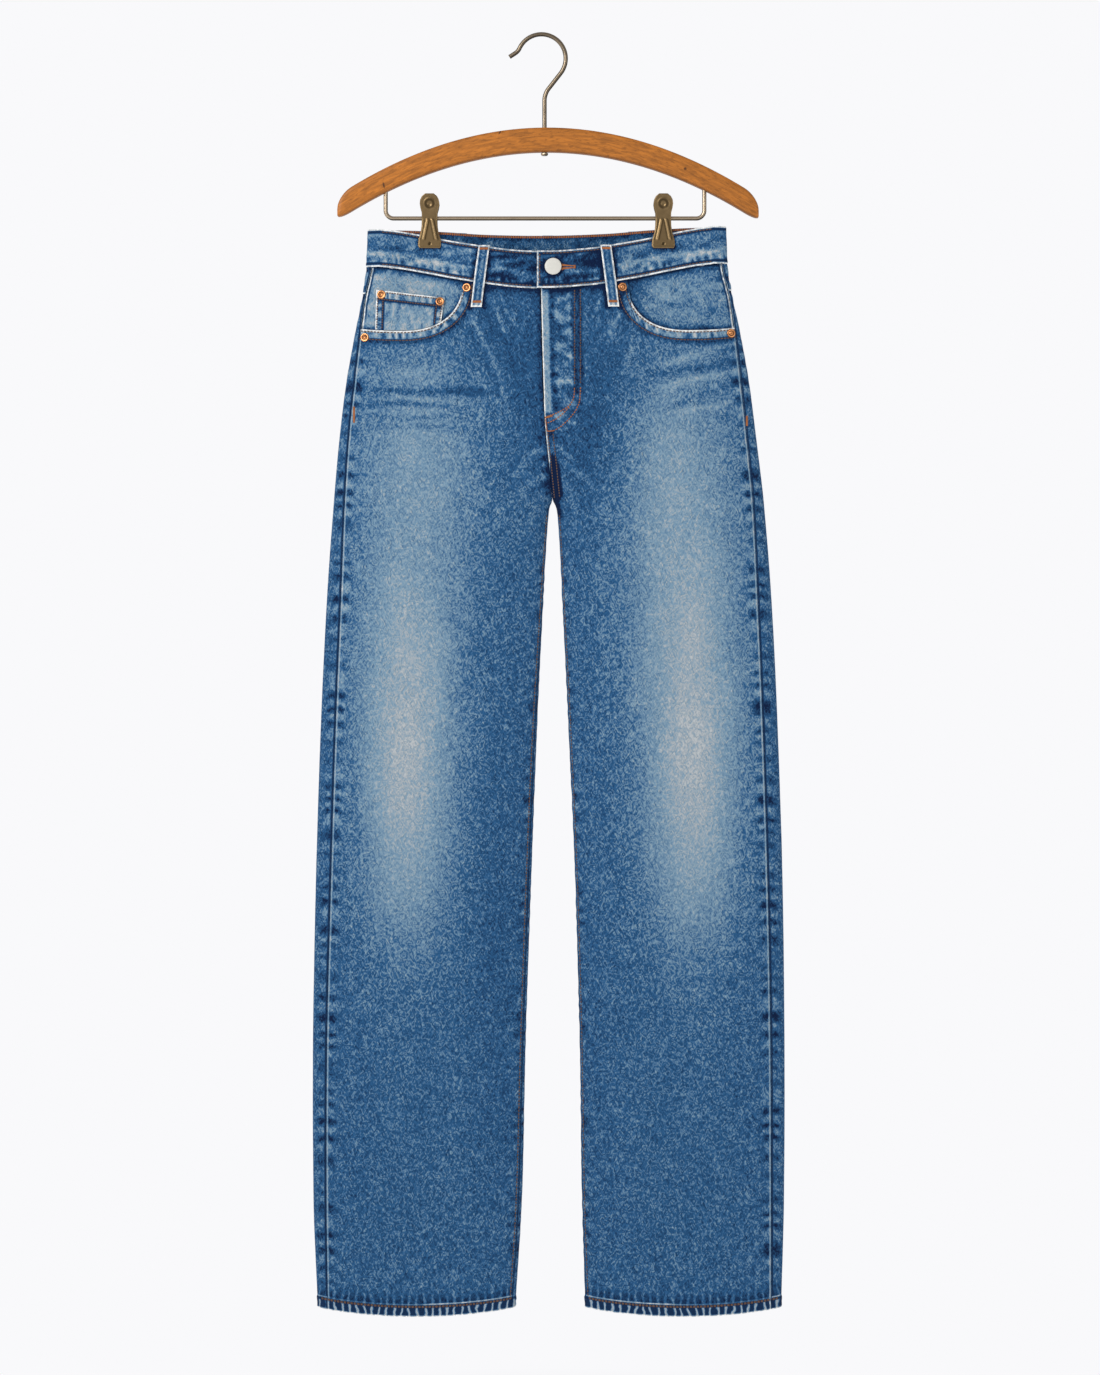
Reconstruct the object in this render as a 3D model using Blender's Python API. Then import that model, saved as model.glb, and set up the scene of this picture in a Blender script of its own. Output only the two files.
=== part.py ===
"""Loose fit button-fly jeans hanging flat from a wooden hanger with two metal clips.

Units are metres. +Z is up, the front of the jeans faces -Y, and right and left are the wearer's,
so the right leg is at -X. The origin is the underside of the hook's crown, where a nail or rail
carries the hanger.

The cloth is one surface, cloth_point(side, z, angle). At each height a side has a flattened ring:
angle 0 is the outer fold, 90 degrees the middle of the front, 180 degrees the inner fold and
270 degrees the middle of the back. Above the crotch the ring is cut where the two sides meet. The
pieces are walls cut from that surface along its seams.
"""

import math
from collections import namedtuple

import bpy
import bmesh
from mathutils import Vector

MM = 0.001
SEAM_GAP = 0.3 * MM
LAYER_GAP = 0.5 * MM

# Cloth walls
DENIM = 1.6 * MM
POCKET_CLOTH = 1.3 * MM
COIN_POCKET_CLOTH = 1.2 * MM
COIN_POCKET_SUNK = 0.3 * MM
BAND_PROUD = 0.7 * MM
BAND_DEPTH = 2.3 * MM
HEM_PROUD = 0.8 * MM
HEM_DEPTH = 2.6 * MM

# Heights of the main levels
WAIST_TOP_Z = -191.7 * MM
WAISTBAND_HEIGHT = 37.6 * MM
CROTCH_Z = -463.5 * MM
CROTCH_RISE = 105 * MM
HEM_Z = -1269.5 * MM
HEM_HEIGHT = 10.5 * MM
HEM_DIP = 8 * MM

# The top edge dips towards the middle, more in front than behind, and hangs a little lower on the right
WAIST_MIDDLE_X = 5.5 * MM
WAIST_HALF_WIDTH = 178.5 * MM
FRONT_DIP = 24 * MM
BACK_DIP = 6.5 * MM
WAIST_TILT = 1.6 * MM

# 2 would be an ellipse, and more is flatter with rounder folds
FOLD_ROUNDNESS = 2.8
HALF_POWER = FOLD_ROUNDNESS / 2

Section = namedtuple("Section", "z right_fold left_fold front_depth back_depth seam_inset")
SECTIONS = (
    Section(-190, -173, 184, 12.0, 11.5, 5.0),
    Section(-230, -175, 186, 12.5, 12.0, 5.0),
    Section(-263, -179.5, 191.5, 15.0, 15.5, 2.5),
    Section(-300, -187, 199.5, 17.5, 19.0, 5.5),
    Section(-348, -195.5, 208, 19.0, 22.0, 8.5),
    Section(-396, -201.5, 214, 20.0, 23.5, 9.5),
    Section(-464, -207.5, 222, 20.5, 23.0, 11.0),
    Section(-564, -214.5, 230, 18.5, 20.0, 14.0),
    Section(-684, -220.5, 236, 16.5, 17.5, 15.0),
    Section(-844, -225.5, 241, 15.0, 15.5, 15.0),
    Section(-1004, -228.5, 243, 15.0, 15.0, 14.0),
    Section(-1164, -228, 242.5, 15.5, 15.5, 13.0),
    Section(-1270, -223.5, 239.5, 17.0, 16.5, 10.0),
    Section(-1290, -222.5, 238.5, 17.5, 17.0, 9.5),
)

Inseam = namedtuple("Inseam", "z right_inner left_inner right_inset left_inset")
INSEAMS = (
    Inseam(-463.5, 11, 11, 0, 0),
    Inseam(-472, 8, 15, 0, 0),
    Inseam(-500, 5.5, 17.5, 0.1, 0.1),
    Inseam(-564, 2, 20.5, 1.0, 0.4),
    Inseam(-684, -4, 26.5, 2.5, 0.6),
    Inseam(-844, -10, 33.5, 3.5, 0.6),
    Inseam(-1004, -15.5, 38, 3.5, 0.6),
    Inseam(-1164, -19.5, 40.5, 4.0, 0.8),
    Inseam(-1270, -26, 43.5, 4.0, 1.5),
    Inseam(-1290, -27, 44, 4.0, 1.5),
)

Centre = namedtuple("Centre", "z front back")
CENTRES = (
    Centre(-190, -2, 6.5),
    Centre(-253, -1, 7),
    Centre(-382, 3, 9),
    Centre(-434, 8, 10.5),
    Centre(-463.5, 11, 11),
)

# Creases pressed into the front by wear, as soft troughs
Crease = namedtuple("Crease", "x z half_length half_width slope depth")
CREASES = (
    Crease(-116, -352, 62, 12, -0.05, 1.5),
    Crease(150, -338, 56, 12, 0.13, 1.5),
    Crease(-43, -440, 55, 13, -0.55, 1.8),
    Crease(64, -440, 55, 13, 0.55, 1.8),
)

# Hanger, clips and hook
STEM_X = 3.0 * MM
BAR_MIDDLE_X = 5.5 * MM
BAR_TOP_Z = -91.4 * MM
BAR_HEIGHT = 24.6 * MM
BAR_THICKNESS = 12.5 * MM
BAR_LEFT_END = 217 * MM
BAR_RIGHT_END = -204 * MM
BAR_ARCH = 1.55
BAR_EDGE = 2.2 * MM
BAR_TIP = 14 * MM
BAR_TIP_FALL = 13 * MM
BAR_TIP_LIFT = 5 * MM
WIRE_RADIUS = 2.2 * MM
HOOK_RADIUS = 24.2 * MM
ROD_RADIUS = 2.1 * MM
ROD_Z = -182 * MM
ROD_RIGHT_X = -155.8 * MM
ROD_LEFT_X = 162.8 * MM
ROD_BEND = 8 * MM
ROD_SOCKET = 11 * MM
CLIP_XS = (-111.8 * MM, 121.7 * MM)
CLIP_JAW_Z = -212.1 * MM
CLIP_SHEET = 1.2 * MM
CLIP_BARREL_RADIUS = 4.0 * MM
CLIP_BARREL_LENGTH = 12 * MM
CLIP_HALF_WIDTH = 11.5 * MM

# Between the jaws the two layers of waistband are pressed together
PINCHED_DEPTH = 3.3 * MM
PINCH_FLAT = 13 * MM
PINCH_REACH = 52 * MM
PINCH_FADE = 85 * MM

# Pockets
POCKET_CORNER = {"right": -78.5 * MM, "left": 85.5 * MM}
POCKET_MOUTH_WIDTH = 60 * MM
POCKET_MOUTH_DEPTH = 51 * MM
POCKET_MOUTH_POWER = 2.3
POCKET_SIDE_RISE = 5 * MM
FACING_MARGIN = 9 * MM
FACING_GAP = 0.9 * MM

# The right front's centre edge lies under the left's, whose fly is a raised J
FLY_WIDTH = 39 * MM
FLY_BOTTOM_Z = -396 * MM
FLY_PROUD = 0.8 * MM
OVERLAP_END_X = -4.5 * MM
UNDERLAP_END_X = 30 * MM
OVERLAP_LIFT = 3.4 * MM
OVERLAP_FLAT_END_X = 36 * MM
OVERLAP_RAMP_END_X = 55 * MM

YOKE_SIDE_HEIGHT = 27 * MM
YOKE_BACK_HEIGHT = 64 * MM

Finish = namedtuple("Finish", "colour roughness metallic")
FINISHES = {
    "denim": Finish((0.10, 0.22, 0.42), 0.9, 0.0),
    "denim_facing": Finish((0.13, 0.26, 0.46), 0.9, 0.0),
    "button_enamel": Finish((0.80, 0.78, 0.73), 0.45, 0.0),
    "copper": Finish((0.78, 0.42, 0.25), 0.35, 1.0),
    "wood": Finish((0.50, 0.24, 0.09), 0.5, 0.0),
    "aged_brass": Finish((0.34, 0.28, 0.19), 0.45, 1.0),
    "wire": Finish((0.36, 0.31, 0.24), 0.35, 1.0),
}


def clear_scene():
    for old in list(bpy.data.objects):
        bpy.data.objects.remove(old, do_unlink=True)


def finish(name):
    """The material of that name, made the first time it is asked for."""
    found = bpy.data.materials.get(name)
    if found:
        return found
    made = bpy.data.materials.new(name)
    made.use_nodes = True
    shader = made.node_tree.nodes["Principled BSDF"]
    look = FINISHES[name]
    shader.inputs["Base Color"].default_value = (*look.colour, 1)
    shader.inputs["Roughness"].default_value = look.roughness
    shader.inputs["Metallic"].default_value = look.metallic
    return made


def add_object(name, data, material):
    made = bpy.data.objects.new(name, data)
    data.materials.append(finish(material))
    bpy.context.scene.collection.objects.link(made)
    return made


def add_mesh(name, points, faces, material, sharp_degrees=40):
    """A closed mesh with its faces turned outwards."""
    mesh = bpy.data.meshes.new(name)
    mesh.from_pydata(points, [], faces)
    shaped = bmesh.new()
    shaped.from_mesh(mesh)
    bmesh.ops.recalc_face_normals(shaped, faces=shaped.faces)
    shaped.to_mesh(mesh)
    shaped.free()
    mesh.shade_smooth()
    mesh.set_sharp_from_angle(angle=math.radians(sharp_degrees))
    return add_object(name, mesh, material)


def read(table, column, z):
    """A table's column at height z, on a smooth curve through its rows, in metres."""
    height = z / MM
    rows = table
    if height >= rows[0].z:
        return getattr(rows[0], column) * MM
    if height <= rows[-1].z:
        return getattr(rows[-1], column) * MM
    i = max(k for k, row in enumerate(rows) if row.z >= height)
    i = min(i, len(rows) - 2)

    def slope(k):
        before = rows[max(k - 1, 0)]
        after = rows[min(k + 1, len(rows) - 1)]
        return (getattr(after, column) - getattr(before, column)) / (after.z - before.z)

    upper = rows[i]
    lower = rows[i + 1]
    span = lower.z - upper.z
    t = (height - upper.z) / span
    value = (
        (2 * t**3 - 3 * t**2 + 1) * getattr(upper, column)
        + (t**3 - 2 * t**2 + t) * span * slope(i)
        + (3 * t**2 - 2 * t**3) * getattr(lower, column)
        + (t**3 - t**2) * span * slope(i + 1)
    )
    return value * MM


def mix(a, b, share):
    return a + (b - a) * share


def fade(distance, flat, reach):
    """1 up to flat, falling smoothly to 0 at reach."""
    if distance <= flat:
        return 1.0
    if distance >= reach:
        return 0.0
    t = (distance - flat) / (reach - flat)
    return 1 - t * t * (3 - 2 * t)


def outward(side):
    """The X direction from the middle towards that side."""
    return -1 if side == "right" else 1


def section(side, layer, z):
    """Middle x, signed half width and depth of a side's ring, and the share of the half width at
    which the ring is cut: 1 on a leg, falling to 0 above the crotch, where both sides make one ring."""
    fold = read(SECTIONS, side + "_fold", z)
    depth = read(SECTIONS, layer + "_depth", z)
    if z <= CROTCH_Z:
        inner = read(INSEAMS, side + "_inner", z)
        cut = 1.0
    else:
        inner = read(CENTRES, layer, z)
        cut = max(0.0, 1 - (z - CROTCH_Z) / CROTCH_RISE) ** 2
    inner += outward(side) * SEAM_GAP / 2
    half_width = (inner - fold) / (1 + cut)
    return fold + half_width, half_width, depth, cut


def squeeze(x, z):
    """How far the clips press the two layers together, from 0 to 1."""
    down = fade(CLIP_JAW_Z - z, 3 * MM, PINCH_FADE)
    return down * max(fade(abs(x - clip), PINCH_FLAT, PINCH_REACH) for clip in CLIP_XS)


def crease_depth(x, z):
    """How deep the front's creases are at a point."""
    total = 0.0
    for crease in CREASES:
        along = (x / MM - crease.x) / crease.half_length
        across = (z / MM - crease.z - crease.slope * (x / MM - crease.x)) / crease.half_width
        total += crease.depth * math.exp(-along * along - across * across)
    return total * MM


def cloth_point(side, z, angle):
    """A point of the cloth's outer surface."""
    layer = "front" if math.sin(angle) >= 0 else "back"
    middle, half_width, depth, _ = section(side, layer, z)
    cosine = math.cos(angle)
    sine = math.sin(angle)
    x = middle - half_width * math.copysign(abs(cosine) ** (1 / HALF_POWER), cosine)
    y = depth * abs(sine) ** (1 / HALF_POWER)
    y = mix(y, min(y, PINCHED_DEPTH), squeeze(x, z))
    if layer == "front":
        y = crease_depth(x, z) * abs(sine) - y
    return Vector((x, y, z))


def cloth_frame(side, z, angle):
    """A point of the cloth and its outward normal."""
    step = 0.02
    along = cloth_point(side, z, angle + step) - cloth_point(side, z, angle - step)
    down = cloth_point(side, z - 2 * MM, angle) - cloth_point(side, z + 2 * MM, angle)
    normal = along.cross(down).normalized()
    if side == "right":
        normal = -normal
    return cloth_point(side, z, angle), normal


def angle_at(side, layer, z, x):
    """The ring angle at which a side's front or back passes x."""
    middle, half_width, _, _ = section(side, layer, z)
    share = max(-1.0, min(1.0, (x - middle) / half_width))
    angle = math.acos(-math.copysign(abs(share) ** HALF_POWER, share))
    return angle if layer == "front" else 2 * math.pi - angle


def seam_trim(side, z, angle):
    """The angle that half a seam gap takes up along the ring."""
    step = 0.004
    run = cloth_point(side, z, angle + step) - cloth_point(side, z, angle - step)
    return SEAM_GAP / 2 * 2 * step / max(run.length, 1e-7)


def side_seam(side, z):
    """The ring angle of the outseam, which lies on the front just inside the fold."""
    fold = read(SECTIONS, side + "_fold", z)
    return angle_at(side, "front", z, fold - outward(side) * read(SECTIONS, "seam_inset", z))


def inner_seam(side, layer, z):
    """The ring angle of the inseam, or above the crotch of the centre seam."""
    _, half_width, _, cut = section(side, layer, z)
    if z <= CROTCH_Z:
        cut = min(1.0, 1 - read(INSEAMS, side + "_inset", z) / abs(half_width))
        layer = "front"
    angle = math.pi - math.acos(cut**HALF_POWER)
    return angle if layer == "front" else 2 * math.pi - angle


def waist_top(layer, x):
    """Height of the waistband's top edge."""
    u = max(-1.0, min(1.0, (x - WAIST_MIDDLE_X) / WAIST_HALF_WIDTH))
    dip = FRONT_DIP if layer == "front" else BACK_DIP
    return WAIST_TOP_Z + WAIST_TILT * u - dip * (1 - u * u) ** 2


def waist_seam(layer, x):
    """Height of the waistband's lower edge."""
    return waist_top(layer, x) - WAISTBAND_HEIGHT


def yoke_seam(x):
    """Height of the seam under the yoke, which is deepest at the centre back."""
    towards_middle = 1 - min(1.0, abs(x - WAIST_MIDDLE_X) / WAIST_HALF_WIDTH)
    return waist_seam("back", x) - mix(YOKE_SIDE_HEIGHT, YOKE_BACK_HEIGHT, towards_middle)


def pocket_mouth(side, x, margin=0.0):
    """Height of the front pocket's curved edge, or of the waist seam beyond the pocket's corner."""
    run = outward(side) * (x - POCKET_CORNER[side]) + margin
    seam = waist_seam("front", x) - SEAM_GAP
    if run <= 0:
        return seam
    width = POCKET_MOUTH_WIDTH + margin
    depth = POCKET_MOUTH_DEPTH + margin
    beyond = max(0.0, run - width)
    share = max(0.0, 1 - run / width)
    bowl = (1 - share**POCKET_MOUTH_POWER) ** (1 / POCKET_MOUTH_POWER)
    top = waist_seam("front", POCKET_CORNER[side])
    return min(seam, top - depth * bowl + POCKET_SIDE_RISE * (beyond / width) ** 2)


def hem_edge(side, layer, z, x):
    """Height of the hem, which dips between its folds."""
    middle, half_width, _, _ = section(side, layer, z)
    u = max(-1.0, min(1.0, (x - middle) / half_width))
    dip = HEM_DIP if layer == "front" else 0.7 * HEM_DIP
    return HEM_Z - dip * (1 - u * u)


def wall(name, material, frames, outer, inner):
    """A closed wall from a grid of (point, normal), with its outer face moved out by outer and its
    inner face in by inner. Each may be a number or a function of the row and column."""
    row_count = len(frames)
    column_count = len(frames[0])

    def amount(value, i, j):
        return value(i, j) if callable(value) else value

    points = []
    for direction, value in ((1, outer), (-1, inner)):
        for i, row in enumerate(frames):
            for j, (point, normal) in enumerate(row):
                points.append(point + normal * direction * amount(value, i, j))

    def index(i, j, back=False):
        return i * column_count + j + (row_count * column_count if back else 0)

    faces = []
    for i in range(row_count - 1):
        for j in range(column_count - 1):
            square = ((i, j), (i + 1, j), (i + 1, j + 1), (i, j + 1))
            faces.append([index(a, b) for a, b in square])
            faces.append([index(a, b, True) for a, b in reversed(square)])
    rim = [(i, 0) for i in range(row_count)]
    rim += [(row_count - 1, j) for j in range(1, column_count)]
    rim += [(i, column_count - 1) for i in range(row_count - 2, -1, -1)]
    rim += [(0, j) for j in range(column_count - 2, 0, -1)]
    for here, there in zip(rim, rim[1:] + rim[:1]):
        faces.append([index(*here), index(*here, True), index(*there, True), index(*there)])
    return add_mesh(name, points, faces, material)


def settle(height_at, start, x_at):
    """The height z at which a column, whose x follows x_at(z), meets the edge height_at(z, x)."""
    z = start
    for _ in range(24):
        z = mix(z, height_at(z, x_at(z)), 0.6)
    return z


def column_frames(side, shares, first_angle, last_angle, top, levels, bottom):
    """Grid of cloth frames between two seams. Columns keep their share of the ring between the
    seams, and each runs from the top edge through the levels to the bottom edge."""
    columns = []
    for share in shares:

        def angle_of(z, share=share):
            low = first_angle(z) + seam_trim(side, z, first_angle(z))
            high = last_angle(z) - seam_trim(side, z, last_angle(z))
            return mix(low, high, share)

        def x_of(z):
            return cloth_point(side, z, angle_of(z)).x

        upper = settle(lambda z, x: top(z, x, angle_of(z)), levels[0], x_of)
        lower = settle(lambda z, x: bottom(z, x, angle_of(z)), levels[-1], x_of)
        heights = [mix(upper, levels[0], k / UPPER_ROWS) for k in range(UPPER_ROWS)]
        heights += list(levels)
        heights.append(lower)
        columns.append([cloth_frame(side, z, angle_of(z)) for z in heights])
    return [list(row) for row in zip(*columns)]


UPPER_ROWS = 6
LEG_LEVELS = [
    level * MM
    for level in (-398, -430, -450, -460, -463.5, -470, -482, -505, -545, -600, -665, -735)
    + (-810, -890, -970, -1050, -1120, -1180, -1225, -1252)
]
# Where columns of the front cross the hip: shares of the way from the outseam to the pocket's
# corner, then of the way from the corner to the centre edge
SEAM_TO_CORNER = (0, 0.07, 0.18, 0.35, 0.52, 0.67, 0.79, 0.88, 0.95)
CORNER_TO_CENTRE = (0, 0.05, 0.15, 0.3, 0.49, 0.67, 0.85)


def front_shares(side):
    """Column positions of a front, from the outseam at 0 to the centre edge at 1, so that they
    crowd where the pocket's mouth is steep."""
    hip_z = -285 * MM
    low = side_seam(side, hip_z)
    high = inner_seam(side, "front", hip_z)
    seam_x = cloth_point(side, hip_z, low).x
    corner_x = POCKET_CORNER[side]
    centre_x = read(CENTRES, "front", hip_z)
    xs = [mix(seam_x, corner_x, share) for share in SEAM_TO_CORNER]
    xs += [mix(corner_x, centre_x, share) for share in CORNER_TO_CENTRE]
    return [(angle_at(side, "front", hip_z, x) - low) / (high - low) for x in xs] + [1.0]


def fly_lift(point):
    """How far the fly's doubled cloth stands out on the left front."""
    run = point.x - read(CENTRES, "front", point.z)
    width = FLY_WIDTH * math.sqrt(max(0.0, 1 - max(0.0, (-345 * MM - point.z) / (51 * MM)) ** 2))
    return FLY_PROUD * fade(run, width - 6 * MM, width) if point.z > FLY_BOTTOM_Z else 0.0


def make_front(side):
    """A front, from waist seam and pocket mouth to hem, between outseam, fly and inseam."""
    frames = column_frames(
        side,
        front_shares(side),
        lambda z: side_seam(side, z),
        lambda z: inner_seam(side, "front", z),
        lambda z, x, angle: pocket_mouth(side, x),
        LEG_LEVELS,
        lambda z, x, angle: hem_edge(side, "front", z, x),
    )
    hem_rows = (len(frames) - 2, len(frames) - 1)

    def outer(i, j):
        lift = fly_lift(frames[i][j][0]) if side == "left" else 0.0
        return max(lift, HEM_PROUD if i == hem_rows[1] else 0.0)

    return wall(side + "_front", "denim", frames, outer, lambda i, j: HEM_DEPTH if i in hem_rows else DENIM)


BACK_COLUMNS = 18


def make_back(side):
    """A back, from yoke seam to hem. It wraps round both folds to the seams on the front."""

    def top(z, x, angle):
        return yoke_seam(x) - SEAM_GAP

    frames = column_frames(
        side,
        [k / BACK_COLUMNS for k in range(BACK_COLUMNS + 1)],
        lambda z: inner_seam(side, "back", z),
        lambda z: 2 * math.pi + side_seam(side, z),
        top,
        LEG_LEVELS,
        lambda z, x, angle: hem_edge(side, "back" if math.sin(angle) < 0 else "front", z, x),
    )
    hem_rows = (len(frames) - 2, len(frames) - 1)
    return wall(
        side + "_back",
        "denim",
        frames,
        lambda i, j: HEM_PROUD if i == hem_rows[1] else 0.0,
        lambda i, j: HEM_DEPTH if i in hem_rows else DENIM,
    )


def make_yoke(side):
    """A yoke, between the waistband and the back."""
    rows = 4
    columns = []
    for k in range(BACK_COLUMNS + 1):

        def angle_of(z, share=k / BACK_COLUMNS):
            low = inner_seam(side, "back", z)
            high = 2 * math.pi + side_seam(side, z)
            return mix(low + seam_trim(side, z, low), high - seam_trim(side, z, high), share)

        def x_of(z):
            return cloth_point(side, z, angle_of(z)).x

        def seam_height(z, x):
            layer = "back" if math.sin(angle_of(z)) < 0 else "front"
            return waist_seam(layer, x) - SEAM_GAP

        upper = settle(seam_height, -232 * MM, x_of)
        lower = settle(lambda z, x: yoke_seam(x), -270 * MM, x_of)
        columns.append(
            [cloth_frame(side, z, angle_of(z)) for z in (mix(upper, lower, r / rows) for r in range(rows + 1))]
        )
    return wall(side + "_yoke", "denim", [list(row) for row in zip(*columns)], 0.0, DENIM)


def side_of(layer, x, z):
    return "right" if x < read(CENTRES, layer, z) else "left"


def layer_frame(layer, x, z):
    """The front's or back's outer surface at x and z, and its outward normal."""
    side = side_of(layer, x, z)
    return cloth_frame(side, z, angle_at(side, layer, z, x))


def overlap_lift(x):
    """How far the waistband's buttoned end stands over the end beneath it."""
    return OVERLAP_LIFT * fade(x, OVERLAP_FLAT_END_X, OVERLAP_RAMP_END_X)


def band_stations():
    """The waistband's stations from its underlap, round the back, to its overlap. Each is
    (side, layer, x or angle, lift)."""
    spacing = 13 * MM
    stations = []

    def straight(layer, start, end, lifted=False):
        count = round(abs(end - start) / spacing)
        for k in range(count + 1):
            x = mix(start, end, k / count)
            side = side_of(layer, x, WAIST_TOP_Z)
            stations.append((side, layer, x, overlap_lift(x) if lifted else 0.0))

    turn = [math.radians(degrees) for degrees in (20, 10, 0, -10, -20)]
    straight("front", UNDERLAP_END_X, -158 * MM)
    stations.extend(("right", None, angle, 0.0) for angle in turn)
    straight("back", -158 * MM, 169 * MM)
    stations.extend(("left", None, angle, 0.0) for angle in reversed(turn))
    straight("front", 169 * MM, OVERLAP_END_X, lifted=True)
    return stations


def make_waistband():
    """One strip of doubled cloth, whose ends overlap under the button."""
    rows = 3
    columns = []
    lifts = []
    for side, layer, where, lift in band_stations():
        column = []
        for r in range(rows + 1):
            drop = WAISTBAND_HEIGHT * r / rows
            if layer:
                z = waist_top(layer, where) - drop
                angle = angle_at(side, layer, z, where)
            else:
                z = waist_top("front", outward(side) * WAIST_HALF_WIDTH + WAIST_MIDDLE_X) - drop
                angle = where
            column.append(cloth_frame(side, z, angle))
        columns.append(column)
        lifts.append(lift)
    return wall(
        "waistband",
        "denim",
        [list(row) for row in zip(*columns)],
        lambda i, j: BAND_PROUD + lifts[j],
        lambda i, j: BAND_DEPTH - lifts[j],
    )


def sheet_on(name, material, layer, xs, heights_at, rows, low, high):
    """A piece lying on the front or back: columns at xs, from the first to the second height that
    heights_at gives, between the offsets low and high from the cloth's outer surface."""
    columns = []
    for x_at in xs:
        top, bottom = heights_at(x_at)
        column = []
        for r in range(rows + 1):
            z = mix(top[1], bottom[1], r / rows)
            column.append(layer_frame(layer, mix(top[0], bottom[0], r / rows), z))
        columns.append(column)
    return wall(name, material, [list(row) for row in zip(*columns)], high, -low)


def make_facing(side):
    """The denim that shows inside a front pocket's mouth. It runs on a little under the front."""
    seam_x = cloth_point(side, -262 * MM, side_seam(side, -262 * MM)).x
    inner_x = POCKET_CORNER[side] - outward(side) * (FACING_MARGIN - 2.5 * MM)
    count = 12
    frames = []
    for k in range(count + 1):
        share = 1 - (1 - k / count) ** 1.3
        column = []
        x_top = mix(inner_x, seam_x, share)
        top = waist_seam("front", x_top) - SEAM_GAP
        bottom = pocket_mouth(side, x_top, FACING_MARGIN) - 1 * MM
        for r in range(6):
            z = mix(top, bottom, r / 5)
            if k == count:
                angle = side_seam(side, z) + seam_trim(side, z, side_seam(side, z))
            else:
                low = angle_at(side, "front", z, x_top)
                angle = max(low, side_seam(side, z) + 0.01 + 0.02 * (count - k))
            column.append(cloth_frame(side, z, angle))
        frames.append(column)
    top_offset = DENIM + FACING_GAP
    return wall(
        side + "_pocket_facing",
        "denim_facing",
        [list(row) for row in zip(*frames)],
        -top_offset,
        top_offset + POCKET_CLOTH,
    )


def make_coin_pocket():
    """The small pocket on the right facing, as far down as the front pocket's mouth shows it."""
    left_x = -165 * MM
    right_x = -96.5 * MM
    left_top = -254 * MM
    right_top = -262 * MM
    high = -COIN_POCKET_SUNK
    low = high - COIN_POCKET_CLOTH

    def heights(x):
        share = (x - left_x) / (right_x - left_x)
        top = mix(left_top, right_top, share)
        foot_x = mix(left_x - 1 * MM, right_x - 3.5 * MM, share)
        return (x, top), (foot_x, pocket_mouth("right", foot_x) + 2 * SEAM_GAP)

    xs = [mix(left_x, right_x, k / 6) for k in range(7)]
    return sheet_on("coin_pocket", "denim", "front", xs, heights, 4, low, high)


def make_back_pocket(side):
    """A patch pocket with a pointed foot."""
    width = 132 * MM
    height = 128 * MM
    point = 20 * MM
    inner_x = read(CENTRES, "back", -330 * MM) + outward(side) * 32 * MM
    top_z = -312 * MM
    low = LAYER_GAP

    def heights(u):
        x = inner_x + outward(side) * width * u
        foot_x = inner_x + outward(side) * width * mix(0.04, 0.98, u)
        foot = top_z - height - point * (1 - abs(2 * u - 1))
        return (x, top_z + 5 * MM * u), (foot_x, foot + 5 * MM * u)

    shares = [k / 8 for k in range(9)]
    name = side + "_back_pocket"
    return sheet_on(name, "denim", "back", shares, heights, 6, low, low + POCKET_CLOTH)


LOOP_WIDTH = 10.8 * MM
LOOP_THICKNESS = 1.6 * MM
LoopLift = namedtuple("LoopLift", "share lift")
# A loop lies on the waistband at its head, stands off it, and comes down to the cloth below
LOOP_LIFTS = (
    LoopLift(0.0, 1.1),
    LoopLift(0.12, 1.2),
    LoopLift(0.35, 2.4),
    LoopLift(0.58, 2.1),
    LoopLift(0.68, 1.5),
    LoopLift(0.86, 0.6),
    LoopLift(1.0, 0.5),
)


def make_belt_loop(name, layer, head_x, foot_x, length):
    """A strip stitched down at its head and foot, with a belt's way behind it."""
    head_z = waist_top(layer, head_x) + 0.6 * MM
    frames = []
    for row in LOOP_LIFTS:
        z = head_z - length * row.share
        x = mix(head_x, foot_x, row.share)
        line = []
        for across in (-0.5, 0, 0.5):
            point, normal = layer_frame(layer, x + across * LOOP_WIDTH, z)
            line.append((point, normal))
        frames.append(line)
    return wall(
        name,
        "denim",
        frames,
        lambda i, j: LOOP_LIFTS[i].lift * MM + LOOP_THICKNESS,
        lambda i, j: -LOOP_LIFTS[i].lift * MM,
    )


def turned(name, profile, segments, material, place, normal):
    """A solid of revolution about its normal. The profile is (radius, height) from the middle of
    its foot to the middle of its head."""
    points = []
    faces = []
    rings = []
    for radius, height in profile:
        if radius == 0:
            rings.append([len(points)])
            points.append((0, 0, height))
            continue
        rings.append(list(range(len(points), len(points) + segments)))
        for k in range(segments):
            angle = 2 * math.pi * k / segments
            points.append((radius * math.cos(angle), radius * math.sin(angle), height))
    for lower, upper in zip(rings, rings[1:]):
        for k in range(segments):
            n = (k + 1) % segments
            corners = [lower[k % len(lower)], lower[n % len(lower)], upper[n % len(upper)], upper[k % len(upper)]]
            faces.append([c for i, c in enumerate(corners) if c not in corners[:i]])
    made = add_mesh(name, points, faces, material)
    made.rotation_euler = Vector(normal).to_track_quat("Z", "Y").to_euler()
    made.location = place
    return made


def make_rivet(name, x, z, offset, radius=4.4 * MM):
    """A copper rivet's cap, standing on the layer that lies offset from the cloth's outer surface."""
    point, normal = layer_frame("front", x, z)
    profile = [
        (0, 0),
        (radius, 0),
        (radius, 0.6 * MM),
        (0.78 * radius, 1.3 * MM),
        (0.5 * radius, 1.0 * MM),
        (0.34 * radius, 1.6 * MM),
        (0, 1.7 * MM),
    ]
    return turned(name, profile, 12, "copper", point + normal * (offset + SEAM_GAP), normal)


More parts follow.
